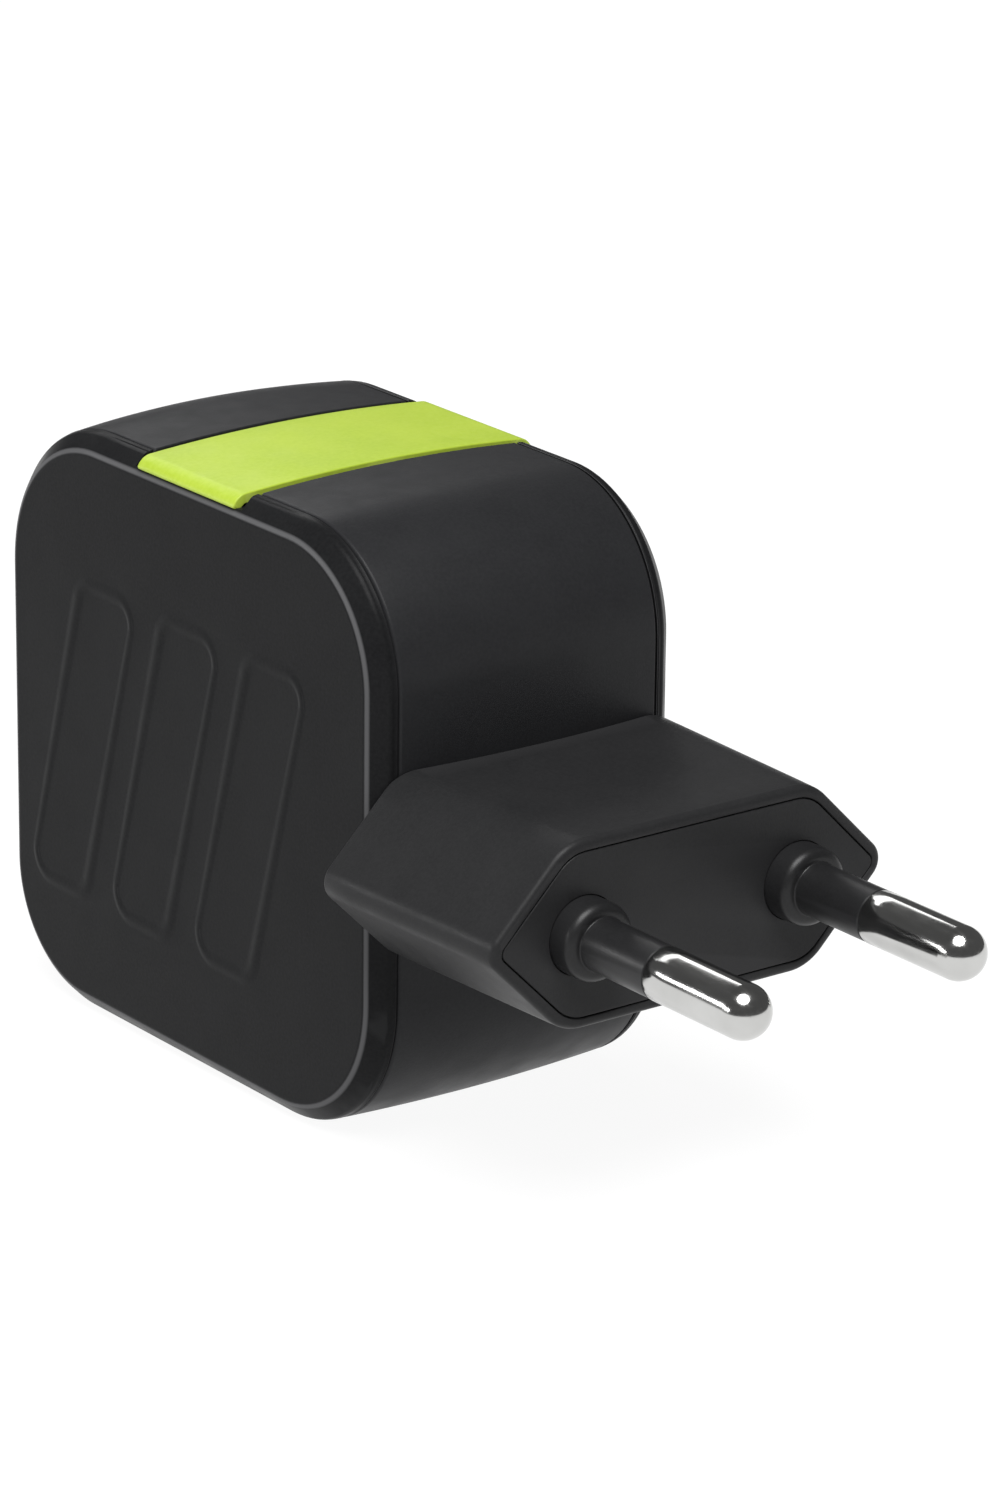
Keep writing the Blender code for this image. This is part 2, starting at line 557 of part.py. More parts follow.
def make_pin_lead(side, x, material):
    """The wire from a pin's tail, through the neck, to the front edge of the main board."""
    direction = -1 if x < 0 else 1
    lane_x = direction * LEAD_HALF_SPACING
    lane_z = PLUG_Z - direction * LEAD_RISE
    turn = 2 * LEAD_DIAMETER
    tail_y = PLUG_FACE_Y + PIN_TAIL_LENGTH + GAP
    lane_y = BODY_FRONT_Y - BLOCK_WALL - LEAD_DIAMETER
    board_y = NECK_END_Y + turn
    route = [(x, tail_y, PLUG_Z), (x, tail_y + turn / 2, PLUG_Z),
             ((x + lane_x) / 2, (tail_y + lane_y) / 2, (PLUG_Z + lane_z) / 2),
             (lane_x, lane_y, lane_z), (lane_x, NECK_END_Y, lane_z),
             (lane_x - turn / 3, board_y - turn / 3, lane_z), (lane_x - turn, board_y, lane_z),
             (BOARD_FACE_X + GAP, board_y, lane_z)]
    curve = bpy.data.curves.new(f"{side}_pin_lead", "CURVE")
    curve.dimensions = "3D"
    curve.bevel_depth = LEAD_DIAMETER / 2
    curve.bevel_resolution = 2
    curve.use_fill_caps = True
    path = smooth_path(route)
    spline = curve.splines.new("POLY")
    spline.points.add(len(path) - 1)
    for point, place in zip(spline.points, path):
        point.co = (*place, 1.0)
    curve.materials.append(material)
    lead = bpy.data.objects.new(f"{side}_pin_lead", curve)
    bpy.context.scene.collection.objects.link(lead)
    return lead


# ---- Charging port -----------------------------------------------------------------------------

def port_outline(offset=0.0):
    """The port's upright stadium (x, z), grown by the offset."""
    half_width = PORT_HALF_WIDTH + offset
    radius = half_width * PORT_CORNER_SHARE
    return rectangle(half_width, PORT_HALF_HEIGHT + offset, radius, FILLET_STEPS + 1)


def make_port_bezel(material):
    """The trim round the port, held behind the rear wall by its flange."""
    rear_y = BODY_REAR_Y
    wall_y = INSIDE_REAR_Y - GAP
    back_y = wall_y - BEZEL_FLANGE_LENGTH
    opening = port_outline(GAP)
    outer = port_outline(BEZEL_MARGIN)
    flange = port_outline(BEZEL_MARGIN + BEZEL_FLANGE)
    rings = [(opening, rear_y), (outer, rear_y), (outer, wall_y), (flange, wall_y),
             (flange, back_y), (opening, back_y)]
    return loft("port_bezel", [ring_y(o, y, z=PORT_Z) for o, y in rings], material, closed=True)


def cut_port_opening(case_wrap):
    """The opening in the rear wall that the bezel fills."""
    outline = port_outline(BEZEL_MARGIN + GAP)
    ends = (INSIDE_REAR_Y - CUT_OVERRUN, BODY_REAR_Y + CUT_OVERRUN)
    cutter = loft("port_opening", [ring_y(outline, y, z=PORT_Z) for y in ends], None)
    cut(case_wrap, cutter)


def make_port_shell(material):
    """The socket's folded steel shell."""
    mouth = BODY_REAR_Y - PORT_RECESS
    ends = (mouth, mouth - PORT_LENGTH)
    outer = port_outline()
    inner = port_outline(-PORT_SHEET)
    rings = [ring_y(inner, ends[0], z=PORT_Z), ring_y(outer, ends[0], z=PORT_Z),
             ring_y(outer, ends[1], z=PORT_Z), ring_y(inner, ends[1], z=PORT_Z)]
    return loft("port_shell", rings, material, closed=True)


def make_port_tongue(material):
    """The contact tongue and the block that it stands on, inside the socket's shell."""
    base = port_outline(-PORT_SHEET - GAP)
    half_height = PORT_HALF_HEIGHT - PORT_SHEET - 3 * GAP
    tongue = rectangle(TONGUE_THICKNESS / 2, half_height, TONGUE_THICKNESS / 4, FILLET_STEPS + 1)
    back_y = BODY_REAR_Y - PORT_RECESS - PORT_LENGTH
    tip_y = BODY_REAR_Y - PORT_RECESS - 2 * GAP
    root_y = tip_y - TONGUE_LENGTH
    rings = [(base, back_y), (base, root_y), (tongue, root_y), (tongue, tip_y)]
    return loft("port_tongue", [ring_y(o, y, z=PORT_Z) for o, y in rings], material)


# ---- Electronics -------------------------------------------------------------------------------

def make_main_board(material):
    """The main circuit board, shaped to the inside of the case."""
    outline = body_outline(CROWN_HALF_WIDTH, WALL + BOARD_MARGIN)
    ends = (BOARD_FACE_X - BOARD_THICKNESS, BOARD_FACE_X)
    return loft("main_board", [ring_x(outline, x) for x in ends], material)


def make_port_board(material):
    """The small board that carries the socket, upright beside it."""
    high_x = PORT_BOARD_BACK_X + PORT_BOARD_THICKNESS
    high_y = INSIDE_REAR_Y - BEZEL_FLANGE_LENGTH - 2 * GAP
    low = (PORT_BOARD_BACK_X, OUTPUT_BAY_Y + GAP, PORT_Z - PORT_BOARD_HALF_HEIGHT)
    return block("port_board", low, (high_x, high_y, PORT_Z + PORT_BOARD_HALF_HEIGHT), material)


def transformer_places():
    """The transformer's middle (y, z), its half width and half height, and its ends in X."""
    half_y = (OUTPUT_BAY_Y - MAINS_BAY_Y) / 2 - GAP
    half_z = (DECK_Z - WALL) / 2 - 2 * GAP
    middle = ((OUTPUT_BAY_Y + MAINS_BAY_Y) / 2, WALL + 2 * GAP + half_z)
    return middle, half_y, half_z, (BOARD_FACE_X + GAP, STACK_TOP_X)


def transformer_radii():
    """Radii of the centre leg, the bobbin's tube and the winding."""
    _, half_y, half_z, _ = transformer_places()
    winding = min(half_y - CORE_LEG, half_z) - 2 * GAP
    tube = winding * TUBE_SHARE
    return tube - BOBBIN_WALL - GAP, tube, winding


def make_core_half(name, end, material):
    """Half of the ferrite core: a back plate, two outer legs and a round centre leg."""
    (y, z), half_y, half_z, ends = transformer_places()
    leg_radius, _, _ = transformer_radii()
    back_x = ends[end]
    direction = 1 if end == 0 else -1
    meet_x = (ends[0] + ends[1] - direction * GAP) / 2
    plate_x = back_x + direction * CORE_PLATE
    low_x, high_x = sorted((back_x, meet_x))
    core = block(name, (low_x, y - half_y, z - half_z), (high_x, y + half_y, z + half_z), material)
    low_x, high_x = sorted((plate_x, meet_x + direction * CUT_OVERRUN))
    window_y = half_y - CORE_LEG
    window_z = half_z + CUT_OVERRUN
    low = (low_x, y - window_y, z - window_z)
    high = (high_x, y + window_y, z + window_z)
    cut(core, block(f"{name}_window", low, high, None))
    leg_ends = (plate_x - direction * CORE_PLATE / 2, meet_x)
    leg = loft(f"{name}_leg", [ring_x(circle(leg_radius), x, y, z) for x in leg_ends], None)
    cut(core, leg, "UNION")
    return core


def make_bobbin(material):
    """The spool that the transformer is wound on, over the core's centre leg."""
    (y, z), _, _, ends = transformer_places()
    leg_radius, tube, winding = transformer_radii()
    inner = leg_radius + GAP
    rim = winding + GAP / 2
    low = ends[0] + CORE_PLATE + GAP
    high = ends[1] - CORE_PLATE - GAP
    profile = [(inner, low), (rim, low), (rim, low + BOBBIN_WALL), (tube, low + BOBBIN_WALL),
               (tube, high - BOBBIN_WALL), (rim, high - BOBBIN_WALL), (rim, high), (inner, high)]
    rings = [ring_x(circle(r), x, y, z) for r, x in profile]
    return loft("transformer_bobbin", rings, material, closed=True)


def make_winding(material):
    """The taped winding between the bobbin's flanges."""
    (y, z), _, _, ends = transformer_places()
    _, tube, winding = transformer_radii()
    low = ends[0] + CORE_PLATE + 2 * GAP + BOBBIN_WALL
    high = ends[1] - CORE_PLATE - 2 * GAP - BOBBIN_WALL
    profile = [(tube + GAP, low), (winding - GAP, low), (winding - GAP, high), (tube + GAP, high)]
    rings = [ring_x(circle(r), x, y, z) for r, x in profile]
    return loft("transformer_winding", rings, material, closed=True)


def drum_profile(radius, length, edge):
    """Half section (r, distance) of a short cylinder with rounded rims."""
    return [(radius - edge, 0.0), (radius, edge), (radius, length - edge), (radius - edge, length)]


def can_profile(radius, length):
    """Half section (r, distance) of a crimped aluminium can capacitor."""
    edge = radius * CAN_EDGE_SHARE
    groove = radius * CAN_GROOVE_SHARE
    start, middle, end = (length * place for place in CAN_GROOVE_PLACES)
    return [(radius - edge, 0.0), (radius, edge), (radius, start), (groove, middle),
            (radius, end), (radius, length - edge), (radius - edge, length)]


def make_input_capacitor(name, index, material):
    """One of the two mains storage capacitors, upright side by side above the transformer."""
    bay = OUTPUT_BAY_Y - MAINS_BAY_Y
    radius = (bay - 3 * GAP) / 4
    y = MAINS_BAY_Y + GAP + radius + index * (2 * radius + GAP)
    low_z = DECK_Z + GAP
    length = TOP_EDGE_Z - WALL - BOARD_MARGIN - low_z
    x = BOARD_FACE_X + GAP + radius
    rings = [ring_z(circle(r), low_z + d, x, y) for r, d in can_profile(radius, length)]
    return loft(name, rings, material)


def make_output_capacitor(name, z, material):
    """One of the polymer output capacitors, standing on the main board behind the transformer."""
    foot_x = BOARD_FACE_X + GAP
    length = min(OUTPUT_CAN_LENGTH, STACK_TOP_X - GAP - foot_x)
    y = (INSIDE_REAR_Y + OUTPUT_BAY_Y) / 2
    profile = can_profile(OUTPUT_CAN_RADIUS, length)
    return loft(name, [ring_x(circle(r), foot_x + d, y, z) for r, d in profile], material)


def make_film_capacitor(material):
    """The boxed film capacitor of the mains filter."""
    high_y = MAINS_BAY_Y - GAP
    high_z = TOP_EDGE_Z - WALL - FILM_HEADROOM
    low = (BOARD_FACE_X + GAP, high_y - FILM_DEPTH, PLUG_Z + FILM_RISE)
    high = (STACK_TOP_X - FILM_HEADROOM, high_y, high_z)
    return block("film_capacitor", low, high, material, edge=FILM_EDGE)


def make_fuse(material):
    """The small round fuse at the mains end of the board."""
    low_z = PLUG_Z + FUSE_RISE
    x = BOARD_FACE_X + GAP + FUSE_RADIUS
    y = INSIDE_FRONT_Y + BOARD_MARGIN + FUSE_RADIUS
    rings = []
    for r, d in drum_profile(FUSE_RADIUS, FUSE_LENGTH, FUSE_EDGE):
        rings.append(ring_z(circle(r, SMALL_ROUND_STEPS), low_z + d, x, y))
    return loft("fuse", rings, material)


def choke_places():
    """The choke's middle (x, y, z), and the inner and outer radius of its ring."""
    bay = MAINS_BAY_Y - INSIDE_FRONT_Y
    outer = bay / 2 - CHOKE_WIRE - 3 * GAP
    x = BOARD_FACE_X + 2 * GAP + CHOKE_WIRE + CHOKE_HALF_WIDTH
    y = (MAINS_BAY_Y + INSIDE_FRONT_Y) / 2 + GAP
    z = WALL + BOARD_MARGIN + bay / 2 + 3 * GAP
    return (x, y, z), outer * CHOKE_BORE_SHARE, outer


def ring_section(inner, outer, half_width):
    """The square section (r, distance) of a flat ring."""
    return [(inner, -half_width), (outer, -half_width), (outer, half_width), (inner, half_width)]


def make_choke_core(material):
    """The ferrite ring of the mains filter choke."""
    (x, y, z), inner, outer = choke_places()
    profile = ring_section(inner, outer, CHOKE_HALF_WIDTH)
    rings = [ring_x(circle(r), x + d, y, z) for r, d in profile]
    return loft("choke_core", rings, material, closed=True)


def make_choke_winding(name, middle_angle, material):
    """One of the two windings, a hollow bent sleeve round its side of the ring."""
    (x, y, z), inner, outer = choke_places()
    shells = []
    for grow in (GAP, GAP + CHOKE_WIRE):
        shells.append(ring_section(inner - grow, outer + grow, CHOKE_HALF_WIDTH + grow))
    bm = bmesh.new()
    sections = []
    for i in range(CHOKE_STEPS + 1):
        angle = middle_angle + radians(CHOKE_HALF_TURN) * (2 * i / CHOKE_STEPS - 1)
        section = []
        for shell in shells:
            places = [(x + d, y + r * cos(angle), z + r * sin(angle)) for r, d in shell]
            section.append([bm.verts.new(place) for place in places])
        sections.append(section)
    for (inside, outside), (next_inside, next_outside) in zip(sections, sections[1:]):
        for i in range(4):
            bm.faces.new((outside[i - 1], outside[i], next_outside[i], next_outside[i - 1]))
            bm.faces.new((inside[i], inside[i - 1], next_inside[i - 1], next_inside[i]))
    for inside, outside in (sections[0], sections[-1]):
        for i in range(4):
            bm.faces.new((outside[i - 1], outside[i], inside[i], inside[i - 1]))
    return new_object(name, bm, material)


def make_rectifier(material):
    """The bridge rectifier, flat on the board below the mains leads."""
    low_x = BOARD_FACE_X + GAP
    high_y = MAINS_BAY_Y - GAP
    middle_z = PLUG_Z + RECTIFIER_RISE
    low = (low_x, high_y - RECTIFIER_LENGTH, middle_z - RECTIFIER_HALF_WIDTH)
    high = (low_x + RECTIFIER_HEIGHT, high_y, middle_z + RECTIFIER_HALF_WIDTH)
    return block("bridge_rectifier", low, high, material, edge=PACKAGE_EDGE)


def make_safety_capacitor(material):
    """The ceramic disc that bridges the mains side and the output side."""
    x = BOARD_FACE_X + GAP + DISC_RADIUS
    y = OUTPUT_BAY_Y + GAP
    z = WALL + BOARD_MARGIN + 2 * GAP + DISC_RADIUS
    profile = drum_profile(DISC_RADIUS, DISC_DEPTH, DISC_EDGE)
    return loft("safety_capacitor", [ring_y(circle(r), y + d, x, z) for r, d in profile], material)


def make_optocoupler(material):
    """The optocoupler that carries the regulation signal back to the mains side."""
    low = (BOARD_FACE_X + GAP, OUTPUT_BAY_Y + 2 * GAP, PORT_Z - PORT_BOARD_HALF_HEIGHT + GAP)
    high = (PORT_BOARD_BACK_X - GAP, low[1] + OPTOCOUPLER_LENGTH, low[2] + OPTOCOUPLER_HEIGHT)
    return block("optocoupler", low, high, material, edge=PACKAGE_EDGE)


def make_back_chip(name, y, z, half, material):
    """A flat chip on the side of the main board that faces the left cover."""
    high_x = BOARD_FACE_X - BOARD_THICKNESS - GAP
    low = (high_x - CHIP_HEIGHT, y - half[0], z - half[1])
    return block(name, low, (high_x, y + half[0], z + half[1]), material, edge=CHIP_EDGE)


def make_port_chip(material):
    """The chip on the port board that agrees the charging voltage."""
    low = (-PORT_HALF_WIDTH, OUTPUT_BAY_Y + 2 * GAP, PORT_Z - PORT_CHIP_SIDE / 2)
    high = (low[0] + CHIP_HEIGHT, low[1] + PORT_CHIP_SIDE, PORT_Z + PORT_CHIP_SIDE / 2)
    return block("port_chip", low, high, material, edge=CHIP_EDGE)


def make_heat_spreader(material):
    """The metal plate that spreads the heat over the right cover."""
    outline = body_outline(CROWN_HALF_WIDTH, WALL + SPREADER_MARGIN)
    high = SEAM_X - 2 * GAP
    rings = [ring_x(outline, x) for x in (high - SPREADER_THICKNESS, high)]
    return loft("heat_spreader", rings, material)


def make_insulation_sheet(material):
    """The film between the tall components and the heat spreader."""
    outline = body_outline(CROWN_HALF_WIDTH, WALL + SPREADER_MARGIN - GAP)
    low = STACK_TOP_X + GAP
    rings = [ring_x(outline, x) for x in (low, low + SHEET_THICKNESS)]
    return loft("insulation_sheet", rings, material)


# ---- Assembly ----------------------------------------------------------------------------------

def make_case(materials):
    """Case, side covers, inlay and port trim."""
    plastic = materials["case_plastic"]
    case_wrap = make_case_wrap(plastic)
    left = make_side_cover("left_side_cover", -1, plastic)
    right = make_side_cover("right_side_cover", 1, plastic)
    make_top_inlay(materials["inlay_plastic"])
    cut_inlay_seat(case_wrap, ((-1, left), (1, right)))
    cut_neck_opening(case_wrap)
    cut_port_opening(case_wrap)
    make_port_bezel(materials["bezel_plastic"])


def make_plug(materials):
    """Plug block, face plate, sleeved pins and their leads."""
    make_plug_block(materials["plug_plastic"])
    make_face_plate(materials["plug_plastic"])
    for side, x in pin_places():
        make_pin(side, x, materials["pin_metal"])
        make_sleeve(side, x, materials["sleeve_plastic"])
        make_pin_lead(side, x, materials["lead_copper"])


def make_power_parts(materials):
    """Mains filter, storage capacitors and transformer on the main board."""
    make_main_board(materials["board_laminate"])
    make_fuse(materials["fuse_body"])
    make_film_capacitor(materials["film_box"])
    make_choke_core(materials["ferrite"])
    make_choke_winding("choke_winding_front", pi, materials["enamelled_wire"])
    make_choke_winding("choke_winding_rear", 0.0, materials["enamelled_wire"])
    make_rectifier(materials["chip_epoxy"])
    for index, name in enumerate(("input_capacitor_front", "input_capacitor_rear")):
        make_input_capacitor(name, index, materials["capacitor_sleeve"])
    make_core_half("transformer_core_inner", 0, materials["ferrite"])
    make_core_half("transformer_core_outer", 1, materials["ferrite"])
    make_bobbin(materials["bobbin_plastic"])
    make_winding(materials["winding_tape"])
    make_safety_capacitor(materials["disc_ceramic"])
    chip_y = BODY_MIDDLE_Y + SWITCH_CHIP_OFFSET[0]
    chip_z = DECK_Z + SWITCH_CHIP_OFFSET[1]
    epoxy = materials["chip_epoxy"]
    make_back_chip("power_switch_chip", chip_y, chip_z, SWITCH_CHIP_HALF, epoxy)


def make_output_parts(materials):
    """Port, its board and the low-voltage parts."""
    make_port_shell(materials["port_steel"])
    make_port_tongue(materials["tongue_plastic"])
    make_port_board(materials["board_laminate"])
    epoxy = materials["chip_epoxy"]
    make_port_chip(epoxy)
    make_optocoupler(epoxy)
    reach = PORT_BOARD_HALF_HEIGHT + 2 * GAP + OUTPUT_CAN_RADIUS
    make_output_capacitor("output_capacitor_upper", PORT_Z + reach, materials["polymer_can"])
    make_output_capacitor("output_capacitor_lower", PORT_Z - reach, materials["polymer_can"])
    chip_y = OUTPUT_BAY_Y + SYNC_CHIP_OFFSET[0]
    chip_z = PORT_Z + SYNC_CHIP_OFFSET[1]
    make_back_chip("sync_rectifier_chip", chip_y, chip_z, SYNC_CHIP_HALF, epoxy)
    make_heat_spreader(materials["spreader_aluminium"])
    make_insulation_sheet(materials["insulation_film"])


def main():
    for old in list(bpy.data.objects):
        bpy.data.objects.remove(old, do_unlink=True)
    materials = make_materials()
    make_case(materials)
    make_plug(materials)
    make_power_parts(materials)
    make_output_parts(materials)


main()
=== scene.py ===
"""Looks of the compact wall charger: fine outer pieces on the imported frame, finishes, light and camera.

Metres, +Z up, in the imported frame.  +Y points out of the charging port and -Y into the wall.
"""

import json
from math import cos, pi, radians, sin, sqrt, tan

import bmesh
import bpy
from mathutils import Matrix, Vector


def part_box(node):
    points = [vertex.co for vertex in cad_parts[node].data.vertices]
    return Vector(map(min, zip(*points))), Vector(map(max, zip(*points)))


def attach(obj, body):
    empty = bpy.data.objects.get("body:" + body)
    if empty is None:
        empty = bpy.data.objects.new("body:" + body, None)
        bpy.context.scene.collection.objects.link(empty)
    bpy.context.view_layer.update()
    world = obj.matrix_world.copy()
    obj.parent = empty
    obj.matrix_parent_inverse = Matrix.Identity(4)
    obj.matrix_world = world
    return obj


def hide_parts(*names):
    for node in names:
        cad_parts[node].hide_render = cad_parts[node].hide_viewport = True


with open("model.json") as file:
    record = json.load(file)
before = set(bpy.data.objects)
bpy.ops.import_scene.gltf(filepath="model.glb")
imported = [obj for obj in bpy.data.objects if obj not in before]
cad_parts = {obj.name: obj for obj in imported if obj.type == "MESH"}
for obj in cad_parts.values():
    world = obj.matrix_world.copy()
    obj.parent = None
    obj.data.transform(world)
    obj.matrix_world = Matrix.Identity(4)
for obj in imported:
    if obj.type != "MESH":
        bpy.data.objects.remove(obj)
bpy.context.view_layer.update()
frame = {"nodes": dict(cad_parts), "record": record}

MM = 0.001
WELD_DISTANCE = 1e-7                    # points closer than this are one point
SHARP_ANGLE = radians(30.0)             # edges that turn more than this stay sharp
COVER_SHARP_ANGLE = radians(24.0)       # and on the covers, with their shallow bars

# ---- Places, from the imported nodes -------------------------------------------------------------

LEFT_LOW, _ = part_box("left_side_cover")
WRAP_LOW, WRAP_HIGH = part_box("case_wrap")
INLAY_LOW, INLAY_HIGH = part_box("top_inlay")
BLOCK_LOW, BLOCK_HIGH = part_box("plug_block")
PLATE_LOW, PLATE_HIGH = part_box("plug_face_plate")
PIN_LOW, PIN_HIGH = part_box("right_pin")
SLEEVE_LOW, SLEEVE_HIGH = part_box("right_pin_sleeve")
BEZEL_LOW, BEZEL_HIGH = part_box("port_bezel")
SHELL_LOW, SHELL_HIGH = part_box("port_shell")
TONGUE_LOW, TONGUE_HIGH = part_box("port_tongue")

# ---- Case sizes --------------------------------------------------------------------------------

GAP = 0.3 * MM                          # the frame's clearance between seated pieces
SHOW_GAP = 0.08 * MM                    # the parting lines that show
SEAT_GAP = 0.06 * MM                    # between pieces that are pressed together
HALF_WIDTH = -LEFT_LOW.x
FRONT_Y, REAR_Y = WRAP_LOW.y, WRAP_HIGH.y
TOP_Z = WRAP_HIGH.z
SEAM_X = WRAP_HIGH.x + GAP
TOP_CROWN = 0.50 * MM
END_CROWN = 0.75 * MM
TOP_EDGE_Z = TOP_Z - TOP_CROWN
WALL = 2.2 * MM
COVER_FILLET = 1.3 * MM
CROWN_HALF_WIDTH = HALF_WIDTH - COVER_FILLET
CROWN_STEPS = 28                        # steps across the crown
CORNERS = (10.0 * MM, 12.3 * MM, 10.9 * MM, 12.0 * MM)  # bottom rear, top rear, top front, bottom front
LIP_LENGTH = 2.0 * MM
LIP_THICKNESS = 1.2 * MM
CUT_OVERRUN = 1.0 * MM                  # how far a cutter stands out of what it cuts
CUT_DEPTH = 4.0 * MM                    # how far it goes through the front and rear walls
NECK_CUT = (FRONT_Y - CUT_OVERRUN, FRONT_Y + CUT_DEPTH)
PORT_CUT = (REAR_Y - CUT_DEPTH, REAR_Y + CUT_OVERRUN)
BAR_Z = 22.0 * MM                       # middle of the raised bars
BAR_SHIFT = 2.6 * MM                    # from the case's middle towards the rear
BAR_ROOT = 0.2 * MM                     # how far each bar goes into its cover
BAR_STEPS = 8                           # steps in each half of its profile and in its corners

# ---- Inlay, plug and port sizes ----------------------------------------------------------------

INLAY_MIDDLE_Y = (INLAY_LOW.y + INLAY_HIGH.y) / 2
INLAY_HALF = (INLAY_HIGH.y - INLAY_LOW.y) / 2
INLAY_SEAT = 0.9 * MM
INLAY_PROUD = 0.06 * MM
INLAY_GAP = 0.35 * MM                   # from its node to the wall of its channel
STRIP_INSET = 0.28 * MM                 # the visible strip's sides, in from its node
INLAY_WRAP = radians(65.0)              # how far each of its ends turns down
END_ROUND = 0.18 * MM                   # rounding of its ends
STRIP_SKIN = 0.4 * MM                   # how deep that rounding moves the strip's outer side
WRAP_STEPS = 10                         # steps in each turned end
PLUG_Z = (BLOCK_LOW.z + BLOCK_HIGH.z) / 2
PLUG_FACE_Y = PLATE_LOW.y
BLOCK_HALF_HEIGHT = (BLOCK_HIGH.z - BLOCK_LOW.z) / 2
BLOCK_BASE_HALF_WIDTH = 18.8 * MM
BLOCK_FACE_HALF_WIDTH = 18.0 * MM
BLOCK_TIP_RADIUS = 1.6 * MM
BLOCK_RIDGE_RADIUS = 4.0 * MM
BLOCK_STEPS = 8                         # steps along its length
RIM_WIDTH = 0.85 * MM
NECK_HALF_WIDTH = SEAM_X - LIP_LENGTH - GAP
NECK_HALF_HEIGHT = 4.6 * MM
PIN_X = (PIN_LOW.x + PIN_HIGH.x) / 2
PIN_RADIUS = (PIN_HIGH.x - PIN_LOW.x) / 2
COLLAR_RADIUS = 2.9 * MM
PORT_Z = (SHELL_LOW.z + SHELL_HIGH.z) / 2
ROLL_STEPS = 8                          # steps round the shell's rolled mouth
CONTACTS = 12                           # in each row on the tongue
CONTACT_PITCH = 0.5 * MM
STADIUM_SHARE = 0.98                    # corner radius over half width, for round ends without a seam
BEZEL_FLANGE = 1.2 * MM
BEZEL_RIM_X = BEZEL_HIGH.x - BEZEL_FLANGE
BEZEL_RIM_Z = (BEZEL_HIGH.z - BEZEL_LOW.z) / 2 - BEZEL_FLANGE


# ---- Outlines ----------------------------------------------------------------------------------

def rounded_polygon(corners, radii, steps):
    """A closed outline through the corners, each turned into an arc of its own radius."""
    points = []
    count = len(corners)
    for i, radius in enumerate(radii):
        corner = Vector(corners[i])
        back = (Vector(corners[i - 1]) - corner).normalized()
        ahead = (Vector(corners[(i + 1) % count]) - corner).normalized()
        half_angle = back.angle(ahead) / 2
        centre = corner + (back + ahead).normalized() * radius / sin(half_angle)
        start = corner + back * radius / tan(half_angle) - centre
        turn = (pi - 2 * half_angle) / steps
        if back.cross(ahead) > 0:
            turn = -turn
        for step in range(steps + 1):
            angle = turn * step
            points.append((centre.x + start.x * cos(angle) - start.y * sin(angle),
                           centre.y + start.x * sin(angle) + start.y * cos(angle)))
    return points


def between(start, end, count):
    """The points that divide a straight line into a count of equal steps, without its ends."""
    a, b = Vector(start), Vector(end)
    return [tuple(a.lerp(b, i / count)) for i in range(1, count)]


def crown(x):
    """How much of the full bulge the case has at a place across its width, from 1 to 0."""
    return max(0.0, 1.0 - (x / CROWN_HALF_WIDTH) ** 2)


def front_at(x):
    """The crowned front's place in Y, across its width."""
    return FRONT_Y + END_CROWN * (1.0 - crown(x))


def body_outline(x, inset=0.0, steps=24):
    """The case's side outline (y, z) at a place across its width, moved inwards by the inset."""
    end_loss = END_CROWN * (1.0 - crown(x)) + inset
    top = TOP_Z - TOP_CROWN * (1.0 - crown(x)) - inset
    front = FRONT_Y + end_loss
    rear = REAR_Y - end_loss
    corners = ((rear, inset), (rear, top), (front, top), (front, inset))
    return rounded_polygon(corners, [max(radius - inset, 0.2 * MM) for radius in CORNERS], steps)


def hexagon(half_width, half_height, inset=0.0, steps=10):
    """The plug's six-sided outline (x, z) with 45 degree flanks and flats in short steps."""
    width = half_width - inset * sqrt(2)
    height = half_height - inset
    flat = width - height
    tip = max(BLOCK_TIP_RADIUS - inset, 0.3 * MM)
    ridge = max(BLOCK_RIDGE_RADIUS - inset, 0.3 * MM)
    corners = ((width, 0), (flat, height), (-flat, height),
               (-width, 0), (-flat, -height), (flat, -height))
    outline = rounded_polygon(corners, (tip, ridge, ridge, tip, ridge, ridge), steps)
    sides = len(outline) // 6
    points = []
    for corner in range(6):
        points += outline[corner * sides:(corner + 1) * sides]
        if corner in (1, 4):
            points += between(points[-1], outline[(corner + 1) * sides], 16)
    return points


def circle(radius, steps=64):
    """A circle round the origin, anticlockwise."""
    angles = [2 * pi * i / steps for i in range(steps)]
    return [(radius * cos(angle), radius * sin(angle)) for angle in angles]


def stadium(half_width, half_height, radius=None, steps=10):
    """An upright rounded rectangle (x, z) round the origin."""
    radius = radius or half_width * STADIUM_SHARE
    corners = ((half_width, -half_height), (half_width, half_height),
               (-half_width, half_height), (-half_width, -half_height))
    return rounded_polygon(corners, (radius,) * 4, steps)


def quarter(count):
    """Angles from 0 to 90 degrees in equal steps."""
    return [pi / 2 * i / count for i in range(count + 1)]


# ---- Solids ------------------------------------------------------------------------------------

def finish_mesh(name, bm, material):
    """Turns a bmesh into a named object with smooth round faces."""
    bmesh.ops.remove_doubles(bm, verts=bm.verts, dist=WELD_DISTANCE)
    bmesh.ops.recalc_face_normals(bm, faces=bm.faces)
    mesh = bpy.data.meshes.new(name)
    bm.to_mesh(mesh)
    bm.free()
    if material:
        mesh.materials.append(material)
    mesh.shade_smooth()
    mesh.set_sharp_from_angle(angle=SHARP_ANGLE)
    piece = bpy.data.objects.new(name, mesh)
    bpy.context.scene.collection.objects.link(piece)
    return piece


